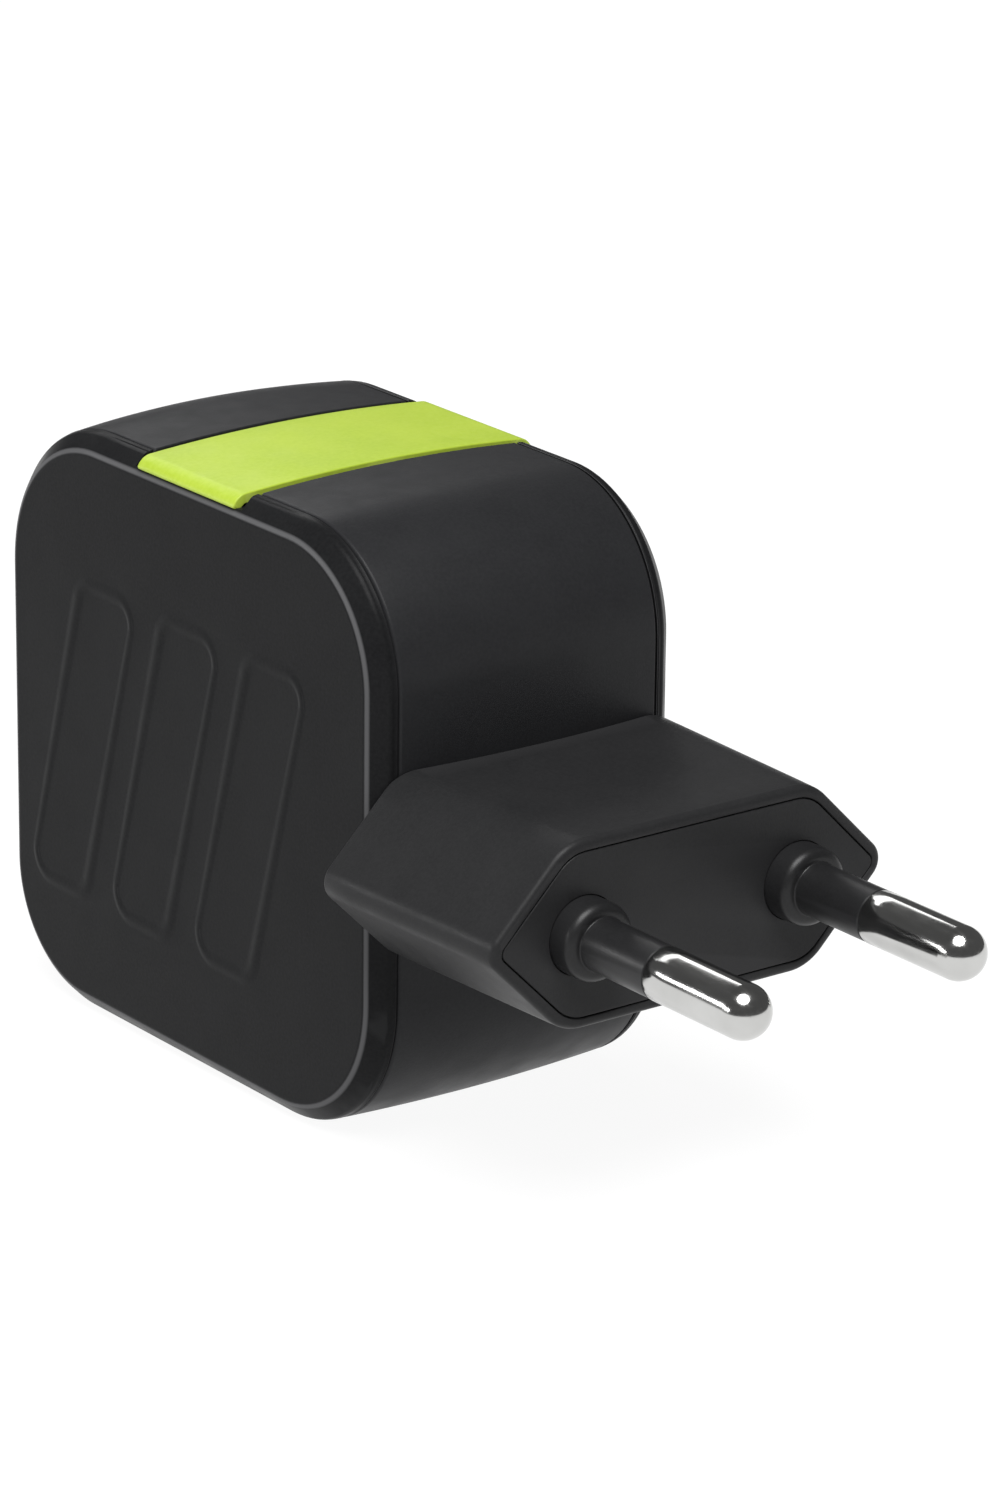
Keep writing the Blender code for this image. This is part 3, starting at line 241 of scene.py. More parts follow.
def loft(name, rings, material, closed=False):
    """A solid through rings of equally many points; closed joins the last ring to the first."""
    bm = bmesh.new()
    loops = [[bm.verts.new(point) for point in ring] for ring in rings]
    pairs = list(zip(loops, loops[1:]))
    if closed:
        pairs.append((loops[-1], loops[0]))
    else:
        bm.faces.new(loops[0])
        bm.faces.new(loops[-1])
    for low, high in pairs:
        for i in range(len(low)):
            bm.faces.new((low[i - 1], low[i], high[i], high[i - 1]))
    return finish_mesh(name, bm, material)


def ring_x(outline, x):
    """An outline (y, z) at a place across the case."""
    return [(x, u, v) for u, v in outline]


def ring_y(outline, y, x=0.0, z=0.0):
    """An outline (x, z) round a line along Y, at a place on it."""
    return [(x + u, y, z + v) for u, v in outline]


def ring_front(outline, distance):
    """An outline (x, z) round the plug's axis, at a distance before the crowned front of the case."""
    return [(u, front_at(u) - distance, PLUG_Z + v) for u, v in outline]


def box(name, low, high, material):
    """A box between two corners."""
    bm = bmesh.new()
    bmesh.ops.create_cube(bm, size=1.0)
    bmesh.ops.scale(bm, vec=Vector(high) - Vector(low), verts=bm.verts)
    bmesh.ops.translate(bm, vec=(Vector(low) + Vector(high)) / 2, verts=bm.verts)
    return finish_mesh(name, bm, material)


def combine(piece, tools, operation="DIFFERENCE", sharp_angle=SHARP_ANGLE):
    """Applies tool solids to a piece and keeps only the resulting mesh."""
    for tool in tools:
        modifier = piece.modifiers.new(tool.name, "BOOLEAN")
        modifier.operation = operation
        modifier.solver = "EXACT"
        modifier.object = tool
    piece.modifiers.new("flat_normals", "WEIGHTED_NORMAL").keep_sharp = True
    bpy.context.view_layer.update()
    evaluated = piece.evaluated_get(bpy.context.evaluated_depsgraph_get())
    mesh = bpy.data.meshes.new_from_object(evaluated)
    piece.modifiers.clear()
    piece.data = mesh
    for tool in tools:
        bpy.data.objects.remove(tool, do_unlink=True)
    mesh.shade_smooth()
    mesh.set_sharp_from_angle(angle=sharp_angle)
    return piece


def place(piece, slot, *nodes):
    """Puts a finished piece on the one body, in place of its CAD nodes."""
    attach(piece, "root")
    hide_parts(*nodes)


# ---- Finishes ----------------------------------------------------------------------------------

class Finish:
    """A node-based Principled material, built a texture at a time."""

    def __init__(self, name, rough, metallic=0.0, specular=0.5):
        self.material = bpy.data.materials.new(name)
        self.material.use_nodes = True
        self.nodes = self.material.node_tree.nodes
        self.links = self.material.node_tree.links
        self.shader = self.nodes["Principled BSDF"]
        self.shader.inputs["Roughness"].default_value = rough
        self.shader.inputs["Metallic"].default_value = metallic
        self.shader.inputs["Specular IOR Level"].default_value = specular
        self.place = self.nodes.new("ShaderNodeTexCoord").outputs["Object"]
        self.normal = None

    def noise(self, size, detail=2.0, stretch=None, seed=0.0):
        """A noise value whose features are about the given size across."""
        node = self.nodes.new("ShaderNodeTexNoise")
        node.inputs["Scale"].default_value = 1.0 / size
        node.inputs["Detail"].default_value = detail
        source = self.place
        if stretch or seed:
            mapping = self.nodes.new("ShaderNodeMapping")
            mapping.inputs["Scale"].default_value = stretch or (1, 1, 1)
            mapping.inputs["Location"].default_value = (seed, seed, seed)
            self.links.new(source, mapping.inputs["Vector"])
            source = mapping.outputs["Vector"]
        self.links.new(source, node.inputs["Vector"])
        return node.outputs["Fac"]

    def remap(self, value, low, high, from_low=0.3, from_high=0.7):
        """A value stretched from its usual range to a new one."""
        node = self.nodes.new("ShaderNodeMapRange")
        node.inputs["From Min"].default_value = from_low
        node.inputs["From Max"].default_value = from_high
        node.inputs["To Min"].default_value = low
        node.inputs["To Max"].default_value = high
        self.links.new(value, node.inputs["Value"])
        return node.outputs["Result"]

    def mix(self, factor, a, b):
        """A colour between two colours or sockets."""
        node = self.nodes.new("ShaderNodeMix")
        node.data_type = "RGBA"
        self.links.new(factor, node.inputs["Factor"])
        for socket, value in ((node.inputs["A"], a), (node.inputs["B"], b)):
            if isinstance(value, tuple):
                socket.default_value = (*value, 1.0)
            else:
                self.links.new(value, socket)
        return node.outputs["Result"]

    def edges(self, low, high):
        """1 on raised edges and 0 on flats."""
        pointiness = self.nodes.new("ShaderNodeNewGeometry").outputs["Pointiness"]
        return self.remap(pointiness, 0.0, 1.0, low, high)

    def sideways_bend(self):
        """1 along the bend where a side face starts to turn away, 0 on the face and past the bend; it places
        a painted highlight.
        """
        split = self.nodes.new("ShaderNodeSeparateXYZ")
        self.links.new(self.nodes.new("ShaderNodeNewGeometry").outputs["Normal"], split.inputs["Vector"])
        size = self.nodes.new("ShaderNodeMath")
        size.operation = "ABSOLUTE"
        self.links.new(split.outputs["X"], size.inputs[0])
        both = self.nodes.new("ShaderNodeMath")
        both.operation = "MULTIPLY"
        self.links.new(self.remap(size.outputs["Value"], 0.0, 1.0, 0.76, 0.86), both.inputs[0])
        self.links.new(self.remap(size.outputs["Value"], 1.0, 0.0, 0.95, 0.985), both.inputs[1])
        return both.outputs["Value"]

    def colour(self, value):
        """Sets the base colour from a socket."""
        self.links.new(value, self.shader.inputs["Base Color"])

    def roughness(self, value):
        """Sets the roughness from a socket."""
        self.links.new(value, self.shader.inputs["Roughness"])

    def bump(self, height, depth, strength=1.0):
        """Adds a relief of the given depth, on top of any before it."""
        node = self.nodes.new("ShaderNodeBump")
        node.inputs["Strength"].default_value = strength
        node.inputs["Distance"].default_value = depth
        self.links.new(height, node.inputs["Height"])
        if self.normal:
            self.links.new(self.normal, node.inputs["Normal"])
        self.normal = node.outputs["Normal"]
        self.links.new(self.normal, self.shader.inputs["Normal"])


def moulded(name, dark, light, worn, rough, grain, depth, specular=0.5, painted_bend_highlight=None):
    """Moulded plastic with fine grain, slow colour drift and worn edges; an optional painted highlight
    colours the bends where side faces turn away.
    """
    finish = Finish(name, rough, specular=specular)
    drift = finish.mix(finish.remap(finish.noise(6 * MM, 3.0), 0.0, 1.0), dark, light)
    speckle = finish.mix(finish.remap(finish.noise(grain * 1.6, 1.0, seed=3.0), 0.0, 0.35), drift, worn)
    surface = finish.mix(finish.edges(0.52, 0.60), speckle, worn)
    # painted highlight: a lighter colour along the side bends, standing in for a reflected edge light
    finish.colour(finish.mix(finish.sideways_bend(), surface, painted_bend_highlight) if painted_bend_highlight else surface)
    finish.roughness(finish.remap(finish.noise(2.5 * MM, 4.0, seed=7.0), rough - 0.05, rough + 0.05))
    finish.bump(finish.noise(grain, 2.0), depth)
    finish.bump(finish.noise(9 * MM, 1.0, seed=5.0), 0.005 * MM, 0.5)
    return finish.material


def metal(name, dark, light, rough, brush=(1, 1, 1)):
    """Metal with faint drawing marks and handling haze."""
    finish = Finish(name, rough, metallic=1.0)
    marks = finish.noise(0.35 * MM, 3.0, stretch=brush)
    finish.colour(finish.mix(finish.remap(finish.noise(3 * MM, 3.0), 0.0, 1.0), dark, light))
    finish.roughness(finish.remap(marks, max(rough - 0.04, 0.02), rough + 0.05))
    finish.bump(marks, 0.0015 * MM, 0.5)
    return finish.material


def make_finishes():
    """Every finish, by the record's slot name, and a darker copy of case_plastic for the covers, whose darker
    tone is painted shade.
    """
    return {
        "case_plastic": moulded("case_plastic", (0.0160, 0.0162, 0.0175), (0.0184, 0.0187, 0.0200),
                                (0.025, 0.0253, 0.027), 0.42, 0.16 * MM, 0.008 * MM, 0.12),
        # painted shade: the covers are case plastic, darkened so their side faces read darker
        "cover_plastic_painted_shade": moulded("cover_plastic_painted_shade", (0.0085, 0.0086, 0.0092), (0.0100, 0.0101, 0.0107),
                                 (0.018, 0.0182, 0.019), 0.34, 0.16 * MM, 0.004 * MM, 0.05,
                                 # the last colour is a painted highlight along the covers' side bends
                                 painted_bend_highlight=(0.085, 0.085, 0.088)),
        "plug_plastic": moulded("plug_plastic", (0.0160, 0.0161, 0.0168), (0.0182, 0.0183, 0.0190),
                                (0.025, 0.025, 0.026), 0.42, 0.16 * MM, 0.008 * MM, 0.13),
        "inlay_plastic": moulded("inlay_plastic", (0.33, 0.455, 0.030), (0.38, 0.50, 0.040),
                                 (0.44, 0.56, 0.08), 0.42, 0.22 * MM, 0.006 * MM, 0.30),
        # darker than the plug plastic; part of that darkness is painted shade round each collar's base
        "sleeve_plastic": moulded("sleeve_plastic", (0.0095, 0.0095, 0.0100), (0.0125, 0.0125, 0.0130),
                                  (0.020, 0.020, 0.021), 0.36, 0.12 * MM, 0.004 * MM, 0.25),
        "pin_metal": metal("pin_metal", (0.52, 0.52, 0.51), (0.58, 0.58, 0.57), 0.13, (1, 0.15, 1)),
        "bezel_plastic": moulded("bezel_plastic", (0.012, 0.012, 0.013), (0.017, 0.017, 0.018),
                                 (0.040, 0.040, 0.042), 0.40, 0.12 * MM, 0.004 * MM),
        "port_steel": metal("port_steel", (0.52, 0.52, 0.53), (0.64, 0.64, 0.65), 0.24, (1, 0.2, 1)),
        "tongue_plastic": moulded("tongue_plastic", (0.012, 0.012, 0.012), (0.018, 0.018, 0.018),
                                  (0.035, 0.035, 0.035), 0.45, 0.10 * MM, 0.004 * MM),
        "lead_copper": metal("lead_copper", (0.66, 0.33, 0.17), (0.78, 0.42, 0.24), 0.30),
        "board_laminate": moulded("board_laminate", (0.015, 0.12, 0.045), (0.03, 0.17, 0.07),
                                  (0.16, 0.30, 0.12), 0.40, 0.5 * MM, 0.01 * MM),
        "ferrite": moulded("ferrite", (0.045, 0.045, 0.048), (0.07, 0.07, 0.075),
                           (0.14, 0.14, 0.145), 0.60, 0.25 * MM, 0.03 * MM),
        "bobbin_plastic": moulded("bobbin_plastic", (0.035, 0.035, 0.036), (0.05, 0.05, 0.052),
                                  (0.09, 0.09, 0.09), 0.50, 0.2 * MM, 0.01 * MM),
        "winding_tape": moulded("winding_tape", (0.68, 0.46, 0.04), (0.80, 0.58, 0.08),
                                (0.88, 0.72, 0.25), 0.30, 0.9 * MM, 0.02 * MM),
        "enamelled_wire": metal("enamelled_wire", (0.42, 0.14, 0.04), (0.60, 0.24, 0.08), 0.32),
        "capacitor_sleeve": moulded("capacitor_sleeve", (0.02, 0.035, 0.09), (0.03, 0.05, 0.13),
                                    (0.10, 0.13, 0.22), 0.28, 0.8 * MM, 0.01 * MM),
        "polymer_can": metal("polymer_can", (0.64, 0.64, 0.65), (0.76, 0.76, 0.77), 0.28),
        "film_box": moulded("film_box", (0.60, 0.47, 0.06), (0.70, 0.57, 0.10),
                            (0.80, 0.70, 0.25), 0.45, 0.3 * MM, 0.01 * MM),
        "disc_ceramic": moulded("disc_ceramic", (0.07, 0.20, 0.42), (0.11, 0.27, 0.52),
                                (0.22, 0.40, 0.62), 0.40, 0.5 * MM, 0.02 * MM),
        "fuse_body": moulded("fuse_body", (0.20, 0.11, 0.06), (0.27, 0.15, 0.08),
                             (0.38, 0.24, 0.15), 0.50, 0.2 * MM, 0.01 * MM),
        "chip_epoxy": moulded("chip_epoxy", (0.015, 0.015, 0.016), (0.022, 0.022, 0.023),
                              (0.05, 0.05, 0.05), 0.55, 0.15 * MM, 0.01 * MM),
        "spreader_aluminium": metal("spreader_aluminium", (0.66, 0.66, 0.67), (0.76, 0.76, 0.77),
                                    0.34, (1, 1, 0.15)),
        "insulation_film": moulded("insulation_film", (0.72, 0.72, 0.68), (0.80, 0.80, 0.76),
                                   (0.86, 0.86, 0.83), 0.38, 0.6 * MM, 0.01 * MM),
    }


# ---- Case --------------------------------------------------------------------------------------

def channel_profile():
    """The rear half of the inlay's channel, as (distance from its middle, depth) pairs."""
    wall = INLAY_HALF + INLAY_GAP
    lip = 0.12 * MM
    profile = [(wall + lip * (1 - sin(angle)) + 0.01 * MM, lip * (1 - cos(angle))) for angle in quarter(4)]
    profile.append((wall - 0.01 * MM, INLAY_SEAT))
    return profile


def wrap_outline(x, inset=0.0, seat=True):
    """The case's outline with the inlay's channel in its top, or flat there for the inner wall."""
    outline = body_outline(x, inset)
    count = len(outline) // 4
    low_rear, high_rear, high_front, low_front = (outline[i * count:(i + 1) * count] for i in range(4))
    top = high_rear[-1][1]
    profile = [(d, top - depth * seat) for d, depth in channel_profile()]
    channel = [(INLAY_MIDDLE_Y + d, z) for d, z in profile]
    channel += [(INLAY_MIDDLE_Y - d, z) for d, z in reversed(profile)]
    return (low_rear + between(low_rear[-1], high_rear[0], 10) + high_rear
            + between(high_rear[-1], channel[0], 4) + channel + between(channel[-1], high_front[0], 4)
            + high_front + between(high_front[-1], low_front[0], 10) + low_front
            + between(low_front[-1], low_rear[0], 12))


def make_wrap(material):
    """Front, top, rear and bottom walls in one moulding, with rounded edges at both seams."""
    edge = 0.28 * MM
    half = SEAM_X - SHOW_GAP
    right = [(half - edge * (1 - cos(angle)), edge * (1 - sin(angle))) for angle in quarter(4)]
    sections = [(half - edge) * (1 - 2 * i / CROWN_STEPS) for i in range(1, CROWN_STEPS)]
    places = right + [(x, 0.0) for x in sections] + [(-x, inset) for x, inset in reversed(right)]
    rings = [ring_x(wrap_outline(x, inset), x) for x, inset in places]
    for x in (-half, half):
        rings.append(ring_x(wrap_outline(CROWN_HALF_WIDTH, WALL, seat=False), x))
    wrap = loft("case_wrap_moulding", rings, material, closed=True)
    neck = hexagon(NECK_HALF_WIDTH, NECK_HALF_HEIGHT, -GAP)
    neck_cut = loft("neck_cut", [ring_y(neck, y, z=PLUG_Z) for y in NECK_CUT], None)
    port = bezel_outline(SHOW_GAP)
    port_cut = loft("port_cut", [ring_y(port, y, z=PORT_Z) for y in PORT_CUT], None)
    return combine(wrap, [neck_cut, port_cut])


def bezel_outline(offset=0.0):
    """The outside of the trim round the port."""
    return stadium(BEZEL_RIM_X + offset, BEZEL_RIM_Z + offset)


def cover_edge():
    """The edge of a cover, as (distance in from its face, inset) pairs with two soft bends."""
    pairs = []
    bend_face, bend_band = 1.0 * MM, 0.70 * MM
    slope = radians(45.0)
    face_steps, band_steps = 6, 7
    first = COVER_FILLET + bend_face * tan(slope / 2)
    for i in range(face_steps + 1):
        angle = slope * i / face_steps
        pairs.append((bend_face * (1 - cos(angle)), first - bend_face * sin(angle)))
    second = COVER_FILLET + bend_band * tan(slope / 2)
    for i in range(band_steps + 1):
        angle = slope + (pi / 2 - slope) * i / band_steps
        pairs.append((second - bend_band * cos(angle), bend_band * (1 - sin(angle))))
    return pairs


def make_cover(name, side, material):
    """A flat side cover with a soft chamfer round it, a lip into the case and three raised bar outlines."""
    rings = [(HALF_WIDTH - depth, body_outline(CROWN_HALF_WIDTH, inset)) for depth, inset in cover_edge()]
    lip = body_outline(CROWN_HALF_WIDTH, WALL + GAP)
    inside = body_outline(CROWN_HALF_WIDTH, WALL + GAP + LIP_THICKNESS)
    edge = 0.12 * MM
    rings += [(SEAM_X + edge, body_outline(SEAM_X)), (SEAM_X + edge * 0.3, body_outline(SEAM_X, edge * 0.3)),
              (SEAM_X, body_outline(SEAM_X, edge)), (SEAM_X, lip), (SEAM_X - LIP_LENGTH, lip),
              (SEAM_X - LIP_LENGTH, inside), (SEAM_X, inside)]
    cover = loft(name, [ring_x(outline, side * x) for x, outline in rings], material)
    ends = sorted((side * (SEAM_X - GAP), side * (HALF_WIDTH + CUT_OVERRUN)))
    half = INLAY_HALF + INLAY_GAP
    notch = box(f"{name}_notch", (ends[0], INLAY_MIDDLE_Y - half, INLAY_LOW.z - SHOW_GAP),
                (ends[1], INLAY_MIDDLE_Y + half, TOP_Z + CUT_OVERRUN), None)
    combine(cover, [notch])
    return combine(cover, [raised_bar(f"{name}_bar_{i}", i, side) for i in range(3)],
                   "UNION", COVER_SHARP_ANGLE)


def raised_bar(name, index, side):
    """One slanted bar outline, swelling a little out of a cover's face."""
    height, width, lean, radius = 25.0 * MM, 7.4 * MM, 3.6 * MM, 1.9 * MM
    line, rise, spacing = 1.5 * MM, 0.07 * MM, 11.0 * MM
    middle_y = (FRONT_Y + REAR_Y) / 2 + BAR_SHIFT + (index - 1) * spacing

    def outline(offset):
        half_w, half_h = width / 2 + offset, height / 2 + offset
        corners = ((middle_y - half_w + lean, BAR_Z - half_h),
                   (middle_y + half_w + lean, BAR_Z - half_h),
                   (middle_y + half_w - lean, BAR_Z + half_h),
                   (middle_y - half_w - lean, BAR_Z + half_h))
        return rounded_polygon(corners, (radius + offset,) * len(corners), BAR_STEPS)

    rings = [(HALF_WIDTH - BAR_ROOT, line / 2)]
    for i in range(2 * BAR_STEPS + 1):
        share = i / BAR_STEPS - 1
        rings.append((HALF_WIDTH + rise * (1 + cos(pi * share)) / 2, -line / 2 * share))
    rings.append((HALF_WIDTH - BAR_ROOT, -line / 2))
    return loft(name, [ring_x(outline(offset), side * x) for x, offset in rings], None, closed=True)


def inlay_path():
    """Places (x, z) and outward directions along the strip's outer face, from the left end to the right."""
    radius = COVER_FILLET + INLAY_PROUD
    centre_x, centre_z = CROWN_HALF_WIDTH, TOP_EDGE_Z - COVER_FILLET
    left = []
    for i in range(WRAP_STEPS + 1):
        angle = pi / 2 - INLAY_WRAP * (1 - i / WRAP_STEPS)
        out = Vector((-cos(angle), sin(angle)))
        left.append((Vector((-centre_x, centre_z)) + out * radius, out))
    first, out = left[0]
    down = Vector((-out.y, out.x))
    for angle in quarter(4)[1:]:
        left.insert(0, (first + down * END_ROUND * sin(angle), out))
    top = []
    for i in range(1, CROWN_STEPS):
        x = centre_x * (2 * i / CROWN_STEPS - 1)
        slope = 2 * TOP_CROWN * x / CROWN_HALF_WIDTH ** 2
        place_on = Vector((x, TOP_EDGE_Z + INLAY_PROUD + TOP_CROWN * crown(x)))
        top.append((place_on, Vector((slope, 1.0)).normalized()))
    mirror = Vector((-1.0, 1.0))
    right = [(point * mirror, out * mirror) for point, out in reversed(left)]
    return left + top + right


def make_inlay(material):
    """The coloured strip: a crowned band with soft edges, turned down at both ends."""
    soft, thick = 0.12 * MM, 0.75 * MM
    half = INLAY_HALF - STRIP_INSET
    half_section = [(half - 0.05 * MM, -thick), (half, -thick + 0.05 * MM)]
    half_section += [(half - soft * (1 - cos(angle)), -soft * (1 - sin(angle))) for angle in quarter(6)]
    half_section += [(half * share, 0.0) for share in (0.8, 0.5, 0.2)]
    section = half_section + [(-y, depth) for y, depth in reversed(half_section)]
    path = inlay_path()
    insets = [END_ROUND * (1 - cos(angle)) for angle in reversed(quarter(4)[1:])]
    insets += [0.0] * (len(path) - 2 * len(insets)) + insets[::-1]
    rings = [section_ring(section, point, out, inset) for (point, out), inset in zip(path, insets)]
    return loft("top_inlay_strip", rings, material)


def section_ring(section, point, out, inset):
    """The strip's section at a place on its path, moved inwards all round by the inset."""
    ring = []
    for y, depth in section:
        share = 1 - inset / INLAY_HALF
        lowered = depth - inset if depth > -STRIP_SKIN else depth + inset * 0.3
        ring.append((point.x + out.x * lowered, INLAY_MIDDLE_Y + y * share, point.y + out.y * lowered))
    return ring


# ---- Plug --------------------------------------------------------------------------------------

def make_block(material):
    """The hollow six-sided block, with a rounded rim, a recessed front and a neck into the case."""
    rim, ledge, wall, neck_wall = 0.55 * MM, 1.3 * MM, 2.0 * MM, 1.3 * MM
    foot, bend = 0.25 * MM, 0.12 * MM
    neck = hexagon(NECK_HALF_WIDTH, NECK_HALF_HEIGHT)
    rings = [ring_front(neck, SEAT_GAP)]
    for angle in quarter(3):
        outline = hexagon(BLOCK_BASE_HALF_WIDTH, BLOCK_HALF_HEIGHT, foot * (1 - sin(angle)))
        rings.append(ring_front(outline, SEAT_GAP + foot * (1 - cos(angle))))
    length = FRONT_Y - PLUG_FACE_Y
    for i in range(1, BLOCK_STEPS):
        share = i / BLOCK_STEPS
        width = BLOCK_BASE_HALF_WIDTH + (BLOCK_FACE_HALF_WIDTH - BLOCK_BASE_HALF_WIDTH) * share
        rings.append(block_ring(hexagon(width, BLOCK_HALF_HEIGHT), FRONT_Y - length * share))

    def face_ring(inset, y):
        return block_ring(hexagon(BLOCK_FACE_HALF_WIDTH, BLOCK_HALF_HEIGHT, inset), y)

    rings += [face_ring(rim * (1 - cos(angle)), PLUG_FACE_Y + rim * (1 - sin(angle))) for angle in quarter(6)]
    rings += [face_ring(RIM_WIDTH - bend * (1 - sin(angle)), PLUG_FACE_Y + bend * (1 - cos(angle)))
              for angle in quarter(3)]
    ledge_y = PLATE_HIGH.y + GAP
    back_y = FRONT_Y - wall
    inner_neck = hexagon(NECK_HALF_WIDTH, NECK_HALF_HEIGHT, neck_wall)
    rings += [face_ring(RIM_WIDTH, ledge_y), face_ring(RIM_WIDTH + ledge, ledge_y),
              face_ring(RIM_WIDTH + ledge, back_y), block_ring(inner_neck, back_y),
              block_ring(inner_neck, BLOCK_HIGH.y), block_ring(neck, BLOCK_HIGH.y)]
    return loft("plug_block_moulding", rings, material, closed=True)


def block_ring(outline, y):
    """An outline (x, z) round the plug's axis."""
    return ring_y(outline, y, z=PLUG_Z)


def make_plate(material):
    """The plate in the front of the block, with a pocket round each sleeve's collar."""
    rim_width = RIM_WIDTH + SHOW_GAP
    bend = 0.10 * MM
    rings = []
    for angle in quarter(3):
        rings.append((hexagon(BLOCK_FACE_HALF_WIDTH, BLOCK_HALF_HEIGHT, rim_width + bend * (1 - sin(angle))),
                      PLUG_FACE_Y + bend * (1 - cos(angle))))
    rings.append((hexagon(BLOCK_FACE_HALF_WIDTH, BLOCK_HALF_HEIGHT, rim_width), PLATE_HIGH.y))
    plate = loft("plug_face_insert", [ring_y(o, y, z=PLUG_Z) for o, y in rings], material)
    tools = []
    for side in (-1, 1):
        for kind, radius, depth in (("bore", PIN_RADIUS + SEAT_GAP, 4 * MM),
                                    ("seat", COLLAR_RADIUS + SHOW_GAP, 0.6 * MM)):
            ends = (PLUG_FACE_Y - CUT_OVERRUN, PLUG_FACE_Y + depth)
            rings = [ring_y(circle(radius), y, x=side * PIN_X, z=PLUG_Z) for y in ends]
            tools.append(loft(f"{kind}_{side}", rings, None))
    return combine(plate, tools)


def make_pin(name, side, material):
    """A round-tipped contact pin on the thinner shank that its sleeve holds."""
    tip_y, tail_y = PIN_LOW.y, PIN_HIGH.y
    shoulder_y = SLEEVE_LOW.y - 0.02 * MM
    shank = 1.1 * MM
    profile = [(0.06 * MM, tip_y)]
    for angle in quarter(18)[1:]:
        profile.append((PIN_RADIUS * sin(angle), tip_y + PIN_RADIUS * (1 - cos(angle))))
    profile += [(PIN_RADIUS, tip_y + PIN_RADIUS + share * (shoulder_y - tip_y - PIN_RADIUS))
                for share in (0.25, 0.5, 0.75, 0.985)]
    profile += [(PIN_RADIUS - 0.06 * MM, shoulder_y), (shank, shoulder_y), (shank, tail_y)]
    rings = [ring_y(circle(r), y, x=side * PIN_X, z=PLUG_Z) for r, y in profile]
    return loft(name, rings, material)


def make_sleeve(name, side, material):
    """The insulating sleeve with its soft collar on the plug face and its flange behind."""
    bore, bend, fillet = 1.12 * MM, 0.75 * MM, 0.12 * MM
    outer = PIN_RADIUS - 0.03 * MM
    front = SLEEVE_LOW.y
    collar_front = PLUG_FACE_Y - 2.2 * MM
    collar_back = PLUG_FACE_Y + 0.55 * MM
    plate_back = PLATE_HIGH.y + 0.04 * MM
    profile = [(bore, front), (outer - 0.08 * MM, front), (outer, front + 0.08 * MM)]
    profile += [(outer + fillet * (1 - cos(angle)), collar_front - fillet * (1 - sin(angle)))
                for angle in quarter(4)]
    start = COLLAR_RADIUS - bend
    profile += [(start + bend * sin(angle), collar_front + bend * (1 - cos(angle)))
                for angle in quarter(8) if start + bend * sin(angle) > outer + fillet]
    profile += [(COLLAR_RADIUS, collar_back), (outer, collar_back), (outer, plate_back),
                (3.5 * MM, plate_back), (3.5 * MM, SLEEVE_HIGH.y), (bore, SLEEVE_HIGH.y)]
    rings = [ring_y(circle(r), y, x=side * PIN_X, z=PLUG_Z) for r, y in profile]
    return loft(name, rings, material, closed=True)


# ---- Charging port -----------------------------------------------------------------------------

def make_bezel(material):
    """The trim round the port, dished towards the socket's mouth."""
    shell_x, shell_z = SHELL_HIGH.x, (SHELL_HIGH.z - SHELL_LOW.z) / 2
    wall_y = REAR_Y - END_CROWN - WALL - GAP
    back_y = BEZEL_LOW.y
    bend = 0.25 * MM
    rings = []
    for angle in quarter(4):
        rings.append((stadium(BEZEL_RIM_X - bend * (1 - sin(angle)), BEZEL_RIM_Z - bend * (1 - sin(angle))),
                      REAR_Y - bend * (1 - cos(angle))))
    rings += [(stadium(BEZEL_RIM_X, BEZEL_RIM_Z), wall_y),
              (stadium(BEZEL_HIGH.x, (BEZEL_HIGH.z - BEZEL_LOW.z) / 2), wall_y),
              (stadium(BEZEL_HIGH.x, (BEZEL_HIGH.z - BEZEL_LOW.z) / 2), back_y),
              (stadium(shell_x + 0.08 * MM, shell_z + 0.08 * MM), back_y)]
    dish = 0.45 * MM
    for angle in quarter(4):
        grow = 0.08 * MM + dish * (1 - cos(angle))
        rings.append((stadium(shell_x + grow, shell_z + grow), REAR_Y - dish * (1 - sin(angle))))
    return loft("port_bezel_trim", [ring_y(o, y, z=PORT_Z) for o, y in rings], material, closed=True)


def make_shell(material):
    """The socket's folded steel shell with a rolled mouth."""
    half_x, half_z = SHELL_HIGH.x, (SHELL_HIGH.z - SHELL_LOW.z) / 2
    sheet = 0.3 * MM
    roll = sheet / 2
    rings = []
    for i in range(ROLL_STEPS + 1):
        angle = pi * i / ROLL_STEPS
        offset = -roll + roll * cos(angle)
        rings.append((stadium(half_x + offset, half_z + offset), SHELL_HIGH.y - roll * (1 - sin(angle))))
    rings += [(stadium(half_x - sheet, half_z - sheet), SHELL_LOW.y), (stadium(half_x, half_z), SHELL_LOW.y)]
    return loft("port_socket_shell", [ring_y(o, y, z=PORT_Z) for o, y in rings], material, closed=True)


